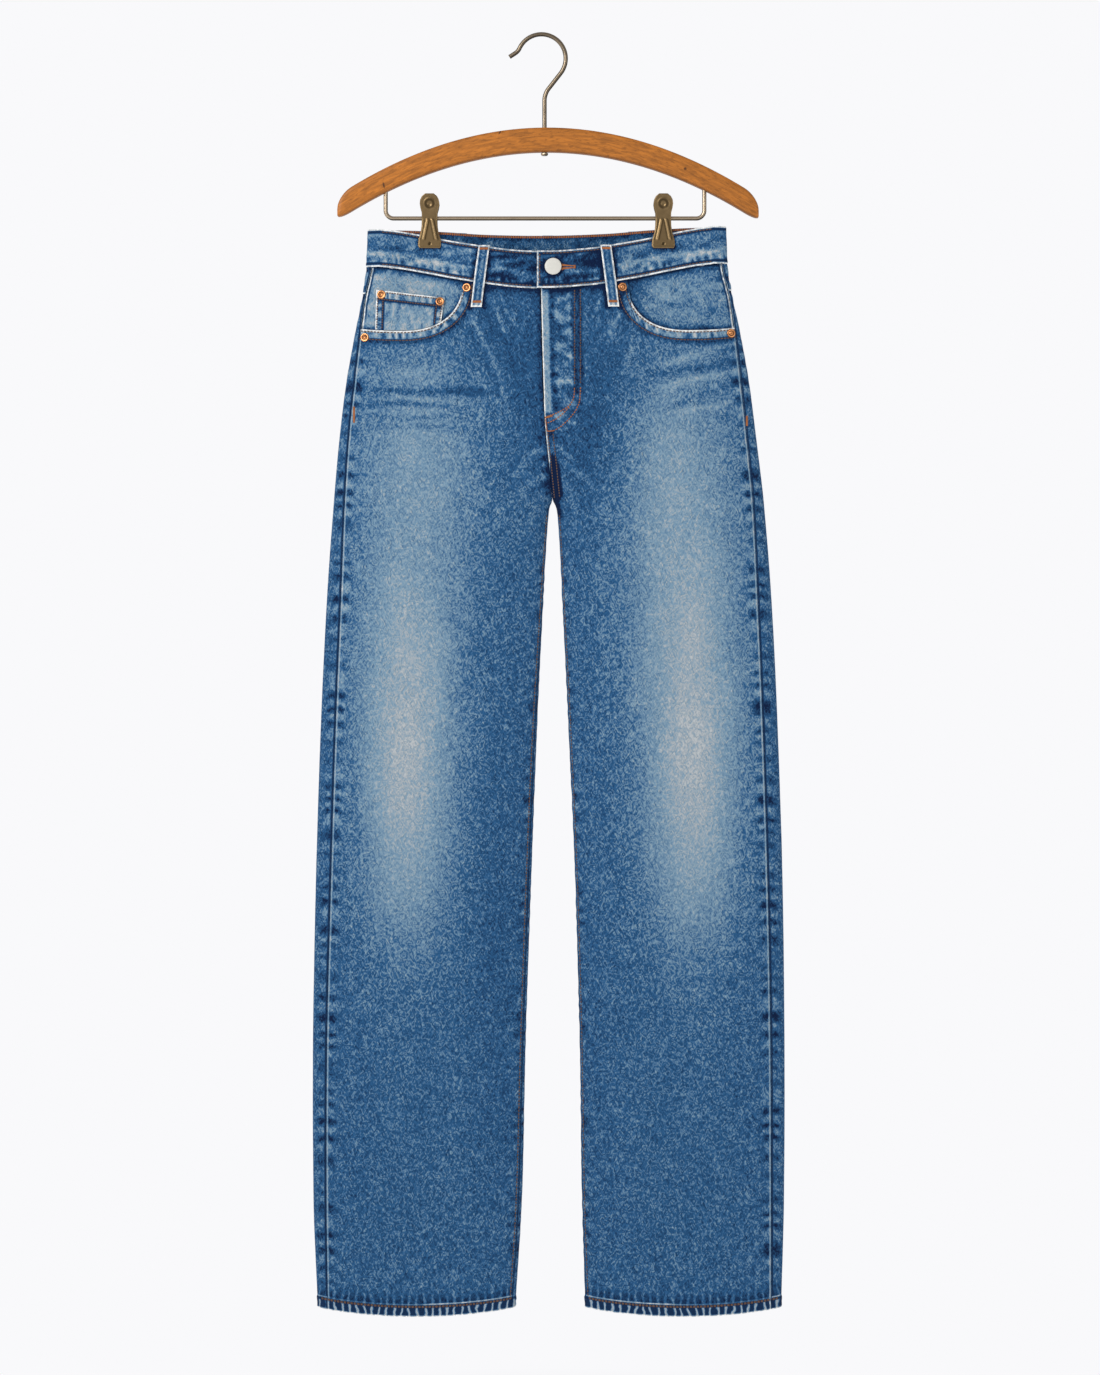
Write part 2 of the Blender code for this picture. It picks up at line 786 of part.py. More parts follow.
def make_button(x, z):
    """The waistband's shank button."""
    radius = 8.4 * MM
    shank = 3.2 * MM
    profile = [
        (0, 0),
        (shank, 0),
        (shank, 1.2 * MM),
        (radius - 0.6 * MM, 1.2 * MM),
        (radius, 1.9 * MM),
        (radius - 0.5 * MM, 2.9 * MM),
        (radius * 0.6, 3.3 * MM),
        (0, 3.4 * MM),
    ]
    point, normal = layer_frame("front", x, z)
    place = point + normal * (BAND_PROUD + OVERLAP_LIFT + SEAM_GAP)
    return turned("waist_button", profile, 20, "button_enamel", place, normal)


def bar_top(x):
    """Height of the hanger bar's arched top edge."""
    return BAR_TOP_Z - BAR_ARCH * (x - BAR_MIDDLE_X) ** 2


def bar_socket(name, x, bottom, top, radius):
    """A round cutter for a hole in the bar."""
    mesh = bpy.data.meshes.new(name)
    shaped = bmesh.new()
    bmesh.ops.create_cone(
        shaped, cap_ends=True, segments=16, radius1=radius, radius2=radius, depth=top - bottom
    )
    shaped.to_mesh(mesh)
    shaped.free()
    cutter = add_object(name, mesh, "wood")
    cutter.location = (x, 0, (top + bottom) / 2)
    cutter.hide_render = True
    cutter.display_type = "WIRE"
    return cutter


def make_bar():
    """The arched wooden bar, with drilled holes for the stem and the rod."""
    half = BAR_THICKNESS / 2
    length = BAR_LEFT_END - BAR_RIGHT_END
    runs = [BAR_TIP * share for share in (0, 0.08, 0.25, 0.5, 0.75)]
    count = 20
    xs = [BAR_RIGHT_END + run for run in runs]
    xs += [BAR_RIGHT_END + mix(BAR_TIP, length - BAR_TIP, k / count) for k in range(count + 1)]
    xs += [BAR_LEFT_END - run for run in reversed(runs)]
    upper = []
    lower = []
    for x in xs:
        near_tip = max(0.0, 1 - min(x - BAR_RIGHT_END, BAR_LEFT_END - x) / BAR_TIP)
        rounding = 1 - math.sqrt(1 - near_tip**2)
        upper.append((x, bar_top(x) - BAR_TIP_FALL * rounding))
        lower.append((x, bar_top(x) - BAR_HEIGHT + BAR_TIP_LIFT * rounding))
    shape = upper + lower[::-1]
    size = len(shape)
    points = []
    for inset, y in ((BAR_EDGE, half), (0.0, half - BAR_EDGE), (0.0, BAR_EDGE - half), (BAR_EDGE, -half)):
        for k, (x, z) in enumerate(shape):
            points.append((x, y, z - inset if k < len(upper) else z + inset))
    faces = [list(range(size)), list(range(3 * size, 4 * size))]
    for r in range(3):
        for k in range(size):
            n = (k + 1) % size
            faces.append([r * size + k, r * size + n, (r + 1) * size + n, (r + 1) * size + k])
    bar = add_mesh("hanger_bar", points, faces, "wood")
    holes = [
        ("stem_hole", STEM_X, BAR_TOP_Z - BAR_HEIGHT - 5 * MM, BAR_TOP_Z + 5 * MM, WIRE_RADIUS + SEAM_GAP)
    ]
    for name, x in (("right_rod_hole", ROD_RIGHT_X), ("left_rod_hole", ROD_LEFT_X)):
        underside = bar_top(x) - BAR_HEIGHT
        holes.append((name, x, underside - 8 * MM, underside + ROD_SOCKET, ROD_RADIUS + SEAM_GAP))
    for name, *sizes in holes:
        cut = bar.modifiers.new(name, "BOOLEAN")
        cut.object = bar_socket("cutter_" + name, *sizes)
        cut.operation = "DIFFERENCE"
        cut.solver = "EXACT"
    return bar


Bend = namedtuple("Bend", "degrees radius straight")


def bent_wire(start, heading_degrees, bends):
    """Points along a wire bent in the XZ plane: each step turns it to the left by degrees round
    the radius, then runs straight."""
    x, z = start
    heading = math.radians(heading_degrees)
    points = [(x, 0, z)]
    for bend in bends:
        steps = max(1, math.ceil(abs(bend.degrees) / 11)) if bend.degrees else 0
        for _ in range(steps):
            turn = math.radians(bend.degrees) / steps
            chord = 2 * bend.radius * math.sin(abs(turn) / 2)
            x += chord * math.cos(heading + turn / 2)
            z += chord * math.sin(heading + turn / 2)
            heading += turn
            points.append((x, 0, z))
        if bend.straight:
            x += bend.straight * math.cos(heading)
            z += bend.straight * math.sin(heading)
            points.append((x, 0, z))
    return points


def make_wire(name, points, radius, resolution):
    curve = bpy.data.curves.new(name, "CURVE")
    curve.dimensions = "3D"
    curve.bevel_depth = radius
    curve.bevel_resolution = resolution
    curve.use_fill_caps = True
    spline = curve.splines.new("POLY")
    spline.points.add(len(points) - 1)
    for knot, point in zip(spline.points, points):
        knot.co = (*point, 1)
    return add_object(name, curve, "wire")


def make_hook():
    """The hook, from its flared tip over the crown and down to the end of its stem."""
    lean = 38
    tip_arc = 155
    reverse = 20 * MM
    centre_z = WIRE_RADIUS - HOOK_RADIUS
    flare = 32
    flare_radius = 12 * MM
    tip_straight = 6.8 * MM
    arc_x = HOOK_RADIUS * math.cos(math.radians(-lean))
    arc_z = centre_z + HOOK_RADIUS * math.sin(math.radians(-lean))
    reverse_shift = reverse * (1 - math.cos(math.radians(lean)))
    slant = (arc_x - STEM_X - reverse_shift) / math.sin(math.radians(lean))
    stem_top = arc_z - slant * math.cos(math.radians(lean)) - reverse * math.sin(math.radians(lean))
    stem_end = BAR_TOP_Z - BAR_HEIGHT - 0.5 * MM
    bends = (
        Bend(0, 0, stem_top - stem_end),
        Bend(-lean, reverse, slant),
        Bend(lean + tip_arc, HOOK_RADIUS, 0),
        Bend(-flare, flare_radius, tip_straight),
    )
    return make_wire("hanger_hook", bent_wire((STEM_X, stem_end), 90, bends), WIRE_RADIUS, 3)


def make_stem_nut():
    """The nut under the bar that holds the hook's stem."""
    radius = 3.6 * MM
    profile = [(0, 0), (radius * 0.8, 0), (radius, 1.2 * MM), (radius, 2.4 * MM), (0, 2.4 * MM)]
    place = (STEM_X, 0, BAR_TOP_Z - BAR_HEIGHT - 3.3 * MM)
    return turned("hanger_stem_nut", profile, 12, "wire", place, (0, 0, 1))


def make_rod():
    """The clip rod, bent up into the bar at both ends."""
    seat = SEAM_GAP
    right_top = bar_top(ROD_RIGHT_X) - BAR_HEIGHT + ROD_SOCKET - seat
    left_top = bar_top(ROD_LEFT_X) - BAR_HEIGHT + ROD_SOCKET - seat
    bends = (
        Bend(0, 0, right_top - ROD_Z - ROD_BEND),
        Bend(90, ROD_BEND, ROD_LEFT_X - ROD_RIGHT_X - 2 * ROD_BEND),
        Bend(90, ROD_BEND, left_top - ROD_Z - ROD_BEND),
    )
    return make_wire("hanger_rod", bent_wire((ROD_RIGHT_X, right_top), -90, bends), ROD_RADIUS, 2)


ClipRow = namedtuple("ClipRow", "z half_width gap")
# A clip plate from its round finger end to its jaw: half width, and distance from the mid plane
CLIP_ROWS = (
    ClipRow(-158.0, 4.2, 9.0),
    ClipRow(-160.6, 7.5, 8.4),
    ClipRow(-164.0, 9.3, 7.7),
    ClipRow(-168.0, 9.75, 6.9),
    ClipRow(-172.5, 9.0, 6.0),
    ClipRow(-176.5, 7.9, 5.2),
    ClipRow(-182.0, 7.7, 4.35),
    ClipRow(-190.0, 8.0, 4.35),
    ClipRow(-197.0, 9.0, 4.35),
    ClipRow(-203.0, 11.0, 4.35),
    ClipRow(-209.5, 11.5, 4.35),
    ClipRow(-212.1, 10.2, 4.35),
)


def make_clip(side, x):
    """A clip: two sheet metal plates on the cloth's two faces, and the spring barrel on the rod."""
    for layer, facing in (("front", -1), ("back", 1)):
        frames = []
        for row in CLIP_ROWS:
            line = []
            for across in (-1, -0.45, 0, 0.45, 1):
                place = Vector((x + across * row.half_width * MM, facing * row.gap * MM, row.z * MM))
                line.append((place, Vector((0, facing, 0))))
            frames.append(line)
        wall(f"{side}_clip_{layer}_plate", "aged_brass", frames, CLIP_SHEET, 0.0)
    inner = ROD_RADIUS + SEAM_GAP
    half = CLIP_BARREL_LENGTH / 2
    segments = 16
    points = []
    corners = ((inner, -half), (CLIP_BARREL_RADIUS, -half), (CLIP_BARREL_RADIUS, half), (inner, half))
    for radius, along in corners:
        for k in range(segments):
            angle = 2 * math.pi * k / segments
            points.append((x + along, radius * math.cos(angle), ROD_Z + radius * math.sin(angle)))
    faces = []
    for r in range(4):
        for k in range(segments):
            n = (k + 1) % segments
            a = r * segments
            b = (r + 1) % 4 * segments
            faces.append([a + k, a + n, b + n, b + k])
    add_mesh(side + "_clip_barrel", points, faces, "aged_brass")


def main():
    clear_scene()
    for side in ("right", "left"):
        make_front(side)
        make_back(side)
        make_yoke(side)
        make_facing(side)
        make_back_pocket(side)
    make_coin_pocket()
    make_waistband()
    make_belt_loop("right_front_loop", "front", -57 * MM, -65 * MM, 62 * MM)
    make_belt_loop("left_front_loop", "front", 64 * MM, 72 * MM, 62 * MM)
    make_belt_loop("right_back_loop", "back", -80 * MM, -82 * MM, 62 * MM)
    make_belt_loop("left_back_loop", "back", 92 * MM, 94 * MM, 62 * MM)
    make_belt_loop("centre_back_loop", "back", 6.5 * MM, 6.8 * MM, 62 * MM)
    make_button(11.6 * MM, -232 * MM)
    make_rivet("right_mouth_top_rivet", -74.5 * MM, -252.3 * MM, 0.0)
    make_rivet("right_mouth_side_rivet", -176.3 * MM, -301.8 * MM, 0.0)
    make_rivet("left_mouth_top_rivet", 80.7 * MM, -251.7 * MM, 0.0)
    make_rivet("left_mouth_side_rivet", 189.1 * MM, -297.5 * MM, 0.0)
    make_rivet("coin_pocket_right_rivet", -159.8 * MM, -259 * MM, -COIN_POCKET_SUNK)
    make_rivet("coin_pocket_left_rivet", -101.3 * MM, -266 * MM, -COIN_POCKET_SUNK)
    make_bar()
    make_hook()
    make_stem_nut()
    make_rod()
    make_clip("right", CLIP_XS[0])
    make_clip("left", CLIP_XS[1])


main()
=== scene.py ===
"""The looks of loose fit jeans on a clip hanger: washed denim with its sewing, hardware, hanger and
studio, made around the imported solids. Units are metres. +Z is up, the jeans' front faces -Y, and
right and left are the wearer's, so the right leg is at -X."""

import math
from collections import namedtuple
from functools import partial

import bpy
import numpy as np
from bpy.types import Operator, Panel, PropertyGroup
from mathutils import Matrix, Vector, noise
from mathutils.bvhtree import BVHTree


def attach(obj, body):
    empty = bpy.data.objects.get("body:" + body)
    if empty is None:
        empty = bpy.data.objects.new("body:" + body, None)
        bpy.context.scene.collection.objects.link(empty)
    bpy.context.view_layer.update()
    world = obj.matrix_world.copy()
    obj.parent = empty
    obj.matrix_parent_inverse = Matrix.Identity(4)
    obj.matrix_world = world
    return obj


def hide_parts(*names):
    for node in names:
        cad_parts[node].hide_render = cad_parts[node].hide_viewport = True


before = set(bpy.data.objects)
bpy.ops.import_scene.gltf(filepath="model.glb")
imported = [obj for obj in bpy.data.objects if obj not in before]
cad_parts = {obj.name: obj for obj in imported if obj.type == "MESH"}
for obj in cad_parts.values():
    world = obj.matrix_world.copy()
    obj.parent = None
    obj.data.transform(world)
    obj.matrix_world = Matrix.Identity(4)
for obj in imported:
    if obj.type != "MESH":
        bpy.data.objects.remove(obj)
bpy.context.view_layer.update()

bl_info = {
    "name": "Loose fit jeans on a clip hanger",
    "version": (1, 0, 0),
    "blender": (4, 5, 0),
    "location": "View3D > Sidebar > Jeans",
    "description": "Washed denim, sewing, hardware, hanger and studio for the jeans",
    "category": "Add Mesh",
}

MM = 0.001
SIDES = ("right", "left")
OUTWARD = {"right": -1, "left": 1}

# Sizes shared with the solids
SEAM_GAP = 0.3 * MM
LAYER_GAP = 0.5 * MM
DENIM = 1.6 * MM
POCKET_CLOTH = 1.3 * MM
COIN_POCKET_CLOTH = 1.2 * MM
COIN_POCKET_SUNK = 0.3 * MM
BAND_PROUD = 0.7 * MM
BAND_DEPTH = 2.3 * MM
HEM_PROUD = 0.8 * MM
WAIST_TOP_Z = -191.7 * MM
WAISTBAND_HEIGHT = 37.6 * MM
CROTCH_Z = -463.5 * MM
CROTCH_RISE = 105 * MM
HEM_Z = -1269.5 * MM
HEM_HEIGHT = 10.5 * MM
HEM_DIP = 8 * MM
WAIST_MIDDLE_X = 5.5 * MM
WAIST_HALF_WIDTH = 178.5 * MM
FRONT_DIP = 24 * MM
BACK_DIP = 6.5 * MM
WAIST_TILT = 1.6 * MM
FOLD_ROUNDNESS = 2.8
HALF_POWER = FOLD_ROUNDNESS / 2


def rows_of(columns, *rows):
    """A table, with the names of its columns in one string."""
    kind = namedtuple("Row", columns)
    return tuple(kind(*row) for row in rows)


SECTIONS = rows_of(
    "z right_fold left_fold front_depth back_depth seam_inset",
    (-190, -173, 184, 12.0, 11.5, 5.0),
    (-230, -175, 186, 12.5, 12.0, 5.0),
    (-263, -179.5, 191.5, 15.0, 15.5, 2.5),
    (-300, -187, 199.5, 17.5, 19.0, 5.5),
    (-348, -195.5, 208, 19.0, 22.0, 8.5),
    (-396, -201.5, 214, 20.0, 23.5, 9.5),
    (-464, -207.5, 222, 20.5, 23.0, 11.0),
    (-564, -214.5, 230, 18.5, 20.0, 14.0),
    (-684, -220.5, 236, 16.5, 17.5, 15.0),
    (-844, -225.5, 241, 15.0, 15.5, 15.0),
    (-1004, -228.5, 243, 15.0, 15.0, 14.0),
    (-1164, -228, 242.5, 15.5, 15.5, 13.0),
    (-1270, -223.5, 239.5, 17.0, 16.5, 10.0),
    (-1290, -222.5, 238.5, 17.5, 17.0, 9.5),
)

INSEAMS = rows_of(
    "z right_inner left_inner right_inset left_inset",
    (-463.5, 11, 11, 0, 0),
    (-472, 8, 15, 0, 0),
    (-500, 5.5, 17.5, 0.1, 0.1),
    (-564, 2, 20.5, 1.0, 0.4),
    (-684, -4, 26.5, 2.5, 0.6),
    (-844, -10, 33.5, 3.5, 0.6),
    (-1004, -15.5, 38, 3.5, 0.6),
    (-1164, -19.5, 40.5, 4.0, 0.8),
    (-1270, -26, 43.5, 4.0, 1.5),
    (-1290, -27, 44, 4.0, 1.5),
)

CENTRES = rows_of(
    "z front back",
    (-190, -2, 6.5),
    (-253, -1, 7),
    (-382, 3, 9),
    (-434, 8, 10.5),
    (-463.5, 11, 11),
)

CREASES = rows_of(
    "x z half_length half_width slope depth",
    (-116, -352, 62, 12, -0.05, 1.5),
    (150, -338, 56, 12, 0.13, 1.5),
    (-43, -440, 55, 13, -0.55, 1.8),
    (64, -440, 55, 13, 0.55, 1.8),
)

# Hanger, clips and hook
STEM_X = 3.0 * MM
BAR_MIDDLE_X = 5.5 * MM
BAR_TOP_Z = -91.4 * MM
BAR_HEIGHT = 24.6 * MM
BAR_THICKNESS = 12.5 * MM
BAR_LEFT_END = 217 * MM
BAR_RIGHT_END = -204 * MM
BAR_ARCH = 1.55
BAR_TIP = 14 * MM
BAR_TIP_FALL = 13 * MM
BAR_TIP_LIFT = 5 * MM
WIRE_RADIUS = 2.2 * MM
HOOK_RADIUS = 24.2 * MM
ROD_RADIUS = 2.1 * MM
ROD_Z = -182 * MM
ROD_RIGHT_X = -155.8 * MM
ROD_LEFT_X = 162.8 * MM
ROD_BEND = 8 * MM
ROD_SOCKET = 11 * MM
CLIP_XS = {"right": -111.8 * MM, "left": 121.7 * MM}
CLIP_JAW_Z = -212.1 * MM
CLIP_SHEET = 1.2 * MM
CLIP_BARREL_RADIUS = 4.0 * MM
CLIP_BARREL_LENGTH = 12 * MM
PINCHED_DEPTH = 3.3 * MM
PINCH_FLAT = 13 * MM
PINCH_REACH = 52 * MM
PINCH_FADE = 85 * MM

# Pockets, fly and yoke
POCKET_CORNER = {"right": -78.5 * MM, "left": 85.5 * MM}
POCKET_MOUTH_WIDTH = 60 * MM
POCKET_MOUTH_DEPTH = 51 * MM
POCKET_MOUTH_POWER = 2.3
POCKET_SIDE_RISE = 5 * MM
FACING_MARGIN = 9 * MM
FACING_GAP = 0.9 * MM
FLY_WIDTH = 39 * MM
FLY_BOTTOM_Z = -396 * MM
FLY_PROUD = 0.8 * MM
OVERLAP_END_X = -4.5 * MM
UNDERLAP_END_X = 30 * MM
OVERLAP_LIFT = 3.4 * MM
OVERLAP_FLAT_END_X = 36 * MM
OVERLAP_RAMP_END_X = 55 * MM
YOKE_SIDE_HEIGHT = 27 * MM
YOKE_BACK_HEIGHT = 64 * MM

# Belt loops, button and rivets
LOOP_WIDTH = 10.8 * MM
LOOP_LENGTH = 62 * MM
LOOP_THICKNESS = 1.6 * MM
LOOPS = rows_of(
    "name layer head_x foot_x",
    ("right_front_loop", "front", -57 * MM, -65 * MM),
    ("left_front_loop", "front", 64 * MM, 72 * MM),
    ("right_back_loop", "back", -80 * MM, -82 * MM),
    ("left_back_loop", "back", 92 * MM, 94 * MM),
    ("centre_back_loop", "back", 6.5 * MM, 6.8 * MM),
)
BUTTON_X = 11.6 * MM
BUTTON_Z = -232 * MM
BUTTONHOLE_END_X = 32.5 * MM
BUTTON_RADIUS = 8.4 * MM
RIVET_RADIUS = 4.4 * MM

# Finer form that only the looks have
MOUTH_BAND = 9.6 * MM
FLY_STRIP = 9 * MM
FLY_STRIP_END_Z = -376 * MM
FLY_ROWS = (33 * MM, 38.8 * MM)
FLY_ROWS_END_Z = -358 * MM
FLY_CURVE_TOP_Z = -345 * MM
TWIN_ROWS = (2.2 * MM, 7.4 * MM)
FRONT_ANGLE = math.pi / 2
BACK_ANGLE = 3 * math.pi / 2
INSIDE_LEVEL = 0.76
NOWHERE = 99.0


def from_hex(colour):
    """An sRGB hex colour as linear red, green and blue."""
    parts = [int(colour[i : i + 2], 16) / 255 for i in (1, 3, 5)]
    return tuple(c / 12.92 if c <= 0.04045 else ((c + 0.055) / 1.055) ** 2.4 for c in parts)


def number(name, description, default, least=0, **kind):
    told = {"name": name, "description": description, "default": default}
    return bpy.props.FloatProperty(min=least, **told, **kind)


def length(name, description, default, least=0):
    return number(name, description, default, least, subtype="DISTANCE", unit="LENGTH")


def power(name, description, default):
    return number(name, description, default, unit="POWER")


def tone(name, description, colour):
    told = {"name": name, "description": description, "default": from_hex(colour)}
    return bpy.props.FloatVectorProperty(subtype="COLOR", min=0, max=1, **told)


class DenimSettings(PropertyGroup):
    column_pitch: length("Column pitch", "Gap between the cloth's columns away from seams", 3.4 * MM, 1 * MM)
    row_pitch: length("Row pitch", "Gap between the cloth's rows away from seams", 3.0 * MM, 1 * MM)
    pucker_pitch: length("Pucker pitch", "Distance between puckers along a shrunk seam", 18 * MM, 2 * MM)
    pucker_height: length("Pucker height", "How far puckers stand out along the seams", 0.42 * MM)
    wash: number("Wash", "Strength of the fades at the thighs and hips", 1.0, max=2, subtype="FACTOR")
    stitch_length: length("Stitch length", "Length of one topstitch, with its gap", 3.4 * MM, 1.5 * MM)
    thread_radius: length("Thread radius", "Half the thickness of the sewing thread", 0.6 * MM, 0.1 * MM)


class ColourSettings(PropertyGroup):
    # The ramp's darkest end: unworn dye, and painted shade in creases, seams and under layers
    indigo_deep: tone("Unworn indigo", "Denim inside creases and under layers", "#061d40")
    indigo: tone("Washed indigo", "Denim of the lower legs", "#2a5b88")
    indigo_worn: tone("Worn indigo", "Denim of the hips and pocket facings", "#7b9ab0")
    indigo_faded: tone("Faded indigo", "Denim at the thighs, which has lost most of its dye", "#aab1b6")
    worn_edge: tone("Worn edge", "Folded edges, where the white yarn shows", "#fafbf9")
    copper_thread: tone("Copper thread", "Bartacks, buttonhole and topstitching", "#a3602c")
    brown_thread: tone("Aged thread", "Topstitching that the wash has dulled", "#5d4232")
    enamel: tone("Button", "Off-white enamel of the shank button", "#d6d4cc")
    copper: tone("Rivets", "Burnished copper", "#e49d69")
    wood: tone("Hanger wood", "Varnished beech", "#b26b22")
    aged_brass: tone("Clips", "Aged brass sheet", "#7f6a4b")
    bronze: tone("Hook and rod", "Bronze plating on steel wire", "#bba88f")


class StudioSettings(PropertyGroup):
    camera_distance: length("Camera distance", "From the camera to the jeans' middle plane", 4.0, 1.5)
    view_height: length("View height", "Height that the picture covers at the jeans", 1.375, 0.5)
    key_power: power("Key light", "Power of the large light at the upper left", 71.0)
    fill_power: power("Fill light", "Power of the light from the right", 21.0)
    backdrop: tone("Backdrop", "Colour of the floor and of the light all round", "#f9f9fb")


# Numbers on curves through tables


def read(table, column, z):
    """A table's column at heights z, on a smooth curve through its rows, in metres."""
    heights = np.array([row.z for row in table]) * MM
    values = np.array([getattr(row, column) for row in table]) * MM
    before = np.maximum(np.arange(len(table)) - 1, 0)
    after = np.minimum(np.arange(len(table)) + 1, len(table) - 1)
    slopes = (values[after] - values[before]) / (heights[after] - heights[before])
    z = np.clip(z, heights[-1], heights[0])
    i = np.clip(np.searchsorted(-heights, -z, side="right") - 1, 0, len(table) - 2)
    span = heights[i + 1] - heights[i]
    t = (z - heights[i]) / span
    return (
        (2 * t**3 - 3 * t**2 + 1) * values[i]
        + (t**3 - 2 * t**2 + t) * span * slopes[i]
        + (3 * t**2 - 2 * t**3) * values[i + 1]
        + (t**3 - t**2) * span * slopes[i + 1]
    )


def full_turn(count):
    """Angles evenly round a circle."""
    return np.arange(count) / count * 2 * math.pi


def mix(a, b, share):
    return a + (b - a) * share


def fade(distance, flat, reach):
    """1 up to flat, falling smoothly to 0 at reach."""
    t = np.clip((distance - flat) / (reach - flat), 0, 1)
    return 1 - t * t * (3 - 2 * t)


def within(distance, edge):
    """1 up to the edge and 0 beyond it, with a step a millimetre wide."""
    return fade(distance, edge - 0.5 * MM, edge + 0.5 * MM)


def bell(distance, reach):
    return np.exp(-((distance / reach) ** 2))


def crowded(start, end, wide, close, places, reach):
    """Positions from start to end, wide apart but close together near the places."""
    fine = np.linspace(start, end, 4001)
    nearness = np.zeros_like(fine)
    for place in places:
        nearness = np.maximum(nearness, bell(fine - place, reach))
    steps = mix(wide, close, nearness)
    counted = abs(end - start) / 4000 / ((steps[1:] + steps[:-1]) / 2)
    counts = np.concatenate([[0], np.cumsum(counted)])
    total = math.ceil(counts[-1])
    return np.interp(np.linspace(0, counts[-1], total + 1), counts, fine)


def cloud(x, z, across, along, seed=0.0):
    """Smooth random variation from -1 to 1, in patches of about that size."""
    x, z = np.broadcast_arrays(x, z)
    flat = zip((x / across).ravel().tolist(), (z / along).ravel().tolist())
    values = [noise.noise((a, seed, b)) for a, b in flat]
    return np.array(values).reshape(x.shape)


# The cloth's surface, as the solids have it


def section(side, z, in_front):
    """Middle x, signed half width, depth and cut of a side's ring."""
    fold = read(SECTIONS, side + "_fold", z)
    depth = np.where(in_front, read(SECTIONS, "front_depth", z), read(SECTIONS, "back_depth", z))
    centre = np.where(in_front, read(CENTRES, "front", z), read(CENTRES, "back", z))
    on_leg = z <= CROTCH_Z
    inner = np.where(on_leg, read(INSEAMS, side + "_inner", z), centre)
    inner = inner + OUTWARD[side] * SEAM_GAP / 2
    above = np.clip(1 - (z - CROTCH_Z) / CROTCH_RISE, 0, 1) ** 2
    cut = np.where(on_leg, 1.0, above)
    half_width = (inner - fold) / (1 + cut)
    return fold + half_width, half_width, depth, cut


def squeeze(x, z):
    """How far the clips press the two layers together, from 0 to 1."""
    down = fade(CLIP_JAW_Z - z, 3 * MM, PINCH_FADE)
    beside = [fade(abs(x - clip), PINCH_FLAT, PINCH_REACH) for clip in CLIP_XS.values()]
    return down * np.maximum(*beside)


def crease_depth(x, z):
    total = 0.0
    for crease in CREASES:
        along = (x / MM - crease.x) / crease.half_length
        across = (z / MM - crease.z - crease.slope * (x / MM - crease.x)) / crease.half_width
        total += crease.depth * np.exp(-along * along - across * across)
    return total * MM


def cloth_points(side, z, angle):
    """Points of the cloth's outer surface."""
    z, angle = np.broadcast_arrays(z, angle)
    cosine = np.cos(angle)
    sine = np.sin(angle)
    in_front = sine >= 0
    middle, half_width, depth, _ = section(side, z, in_front)
    x = middle - half_width * np.sign(cosine) * abs(cosine) ** (1 / HALF_POWER)
    y = depth * abs(sine) ** (1 / HALF_POWER)
    y = mix(y, np.minimum(y, PINCHED_DEPTH), squeeze(x, z))
    y = np.where(in_front, crease_depth(x, z) * abs(sine) - y, y)
    return np.stack([x, y, z], axis=-1)


def cloth_frames(side, z, angle):
    """Points of the cloth and its outward normals."""
    step = 0.02
    along = cloth_points(side, z, angle + step) - cloth_points(side, z, angle - step)
    down = cloth_points(side, z - 2 * MM, angle) - cloth_points(side, z + 2 * MM, angle)
    normals = np.cross(along, down)
    normals /= np.linalg.norm(normals, axis=-1, keepdims=True)
    if side == "right":
        normals = -normals
    return cloth_points(side, z, angle), normals


def angle_at(side, layer, z, x):
    """The ring angle at which a side's front or back passes x."""
    in_front = layer == "front"
    middle, half_width, _, _ = section(side, z, in_front)
    share = np.clip((x - middle) / half_width, -1, 1)
    angle = np.arccos(-np.sign(share) * abs(share) ** HALF_POWER)
    return angle if in_front else 2 * math.pi - angle


def layer_frames(layer, x, z):
    """The front's or back's outer surface at x and z, and its outward normals."""
    x, z = np.broadcast_arrays(x, z)
    centre = read(CENTRES, layer, z)
    on_right = (x < centre)[..., None]
    right = cloth_frames("right", z, angle_at("right", layer, z, x))
    left = cloth_frames("left", z, angle_at("left", layer, z, x))
    return tuple(np.where(on_right, r, l) for r, l in zip(right, left))


def seam_trim(side, z, angle):
    """The angle that half a seam gap takes up along the ring."""
    step = 0.004
    run = cloth_points(side, z, angle + step) - cloth_points(side, z, angle - step)
    return SEAM_GAP / 2 * 2 * step / np.maximum(np.linalg.norm(run, axis=-1), 1e-7)


def side_seam(side, z):
    fold = read(SECTIONS, side + "_fold", z)
    return angle_at(side, "front", z, fold - OUTWARD[side] * read(SECTIONS, "seam_inset", z))


def inner_seam(side, layer, z):
    """The ring angle of the inseam, or above the crotch of the centre seam."""
    _, half_width, _, cut = section(side, z, layer == "front")
    on_leg = z <= CROTCH_Z
    inset = 1 - read(INSEAMS, side + "_inset", z) / abs(half_width)
    cut = np.minimum(1.0, np.where(on_leg, inset, cut))
    angle = math.pi - np.arccos(cut**HALF_POWER)
    return np.where(on_leg | (layer == "front"), angle, 2 * math.pi - angle)


def waist_top(layer, x):
    u = np.clip((x - WAIST_MIDDLE_X) / WAIST_HALF_WIDTH, -1, 1)
    dip = FRONT_DIP if layer == "front" else BACK_DIP
    return WAIST_TOP_Z + WAIST_TILT * u - dip * (1 - u * u) ** 2


def waist_seam(layer, x):
    return waist_top(layer, x) - WAISTBAND_HEIGHT


def yoke_seam(x):
    towards_middle = 1 - np.minimum(1.0, abs(x - WAIST_MIDDLE_X) / WAIST_HALF_WIDTH)
    return waist_seam("back", x) - mix(YOKE_SIDE_HEIGHT, YOKE_BACK_HEIGHT, towards_middle)


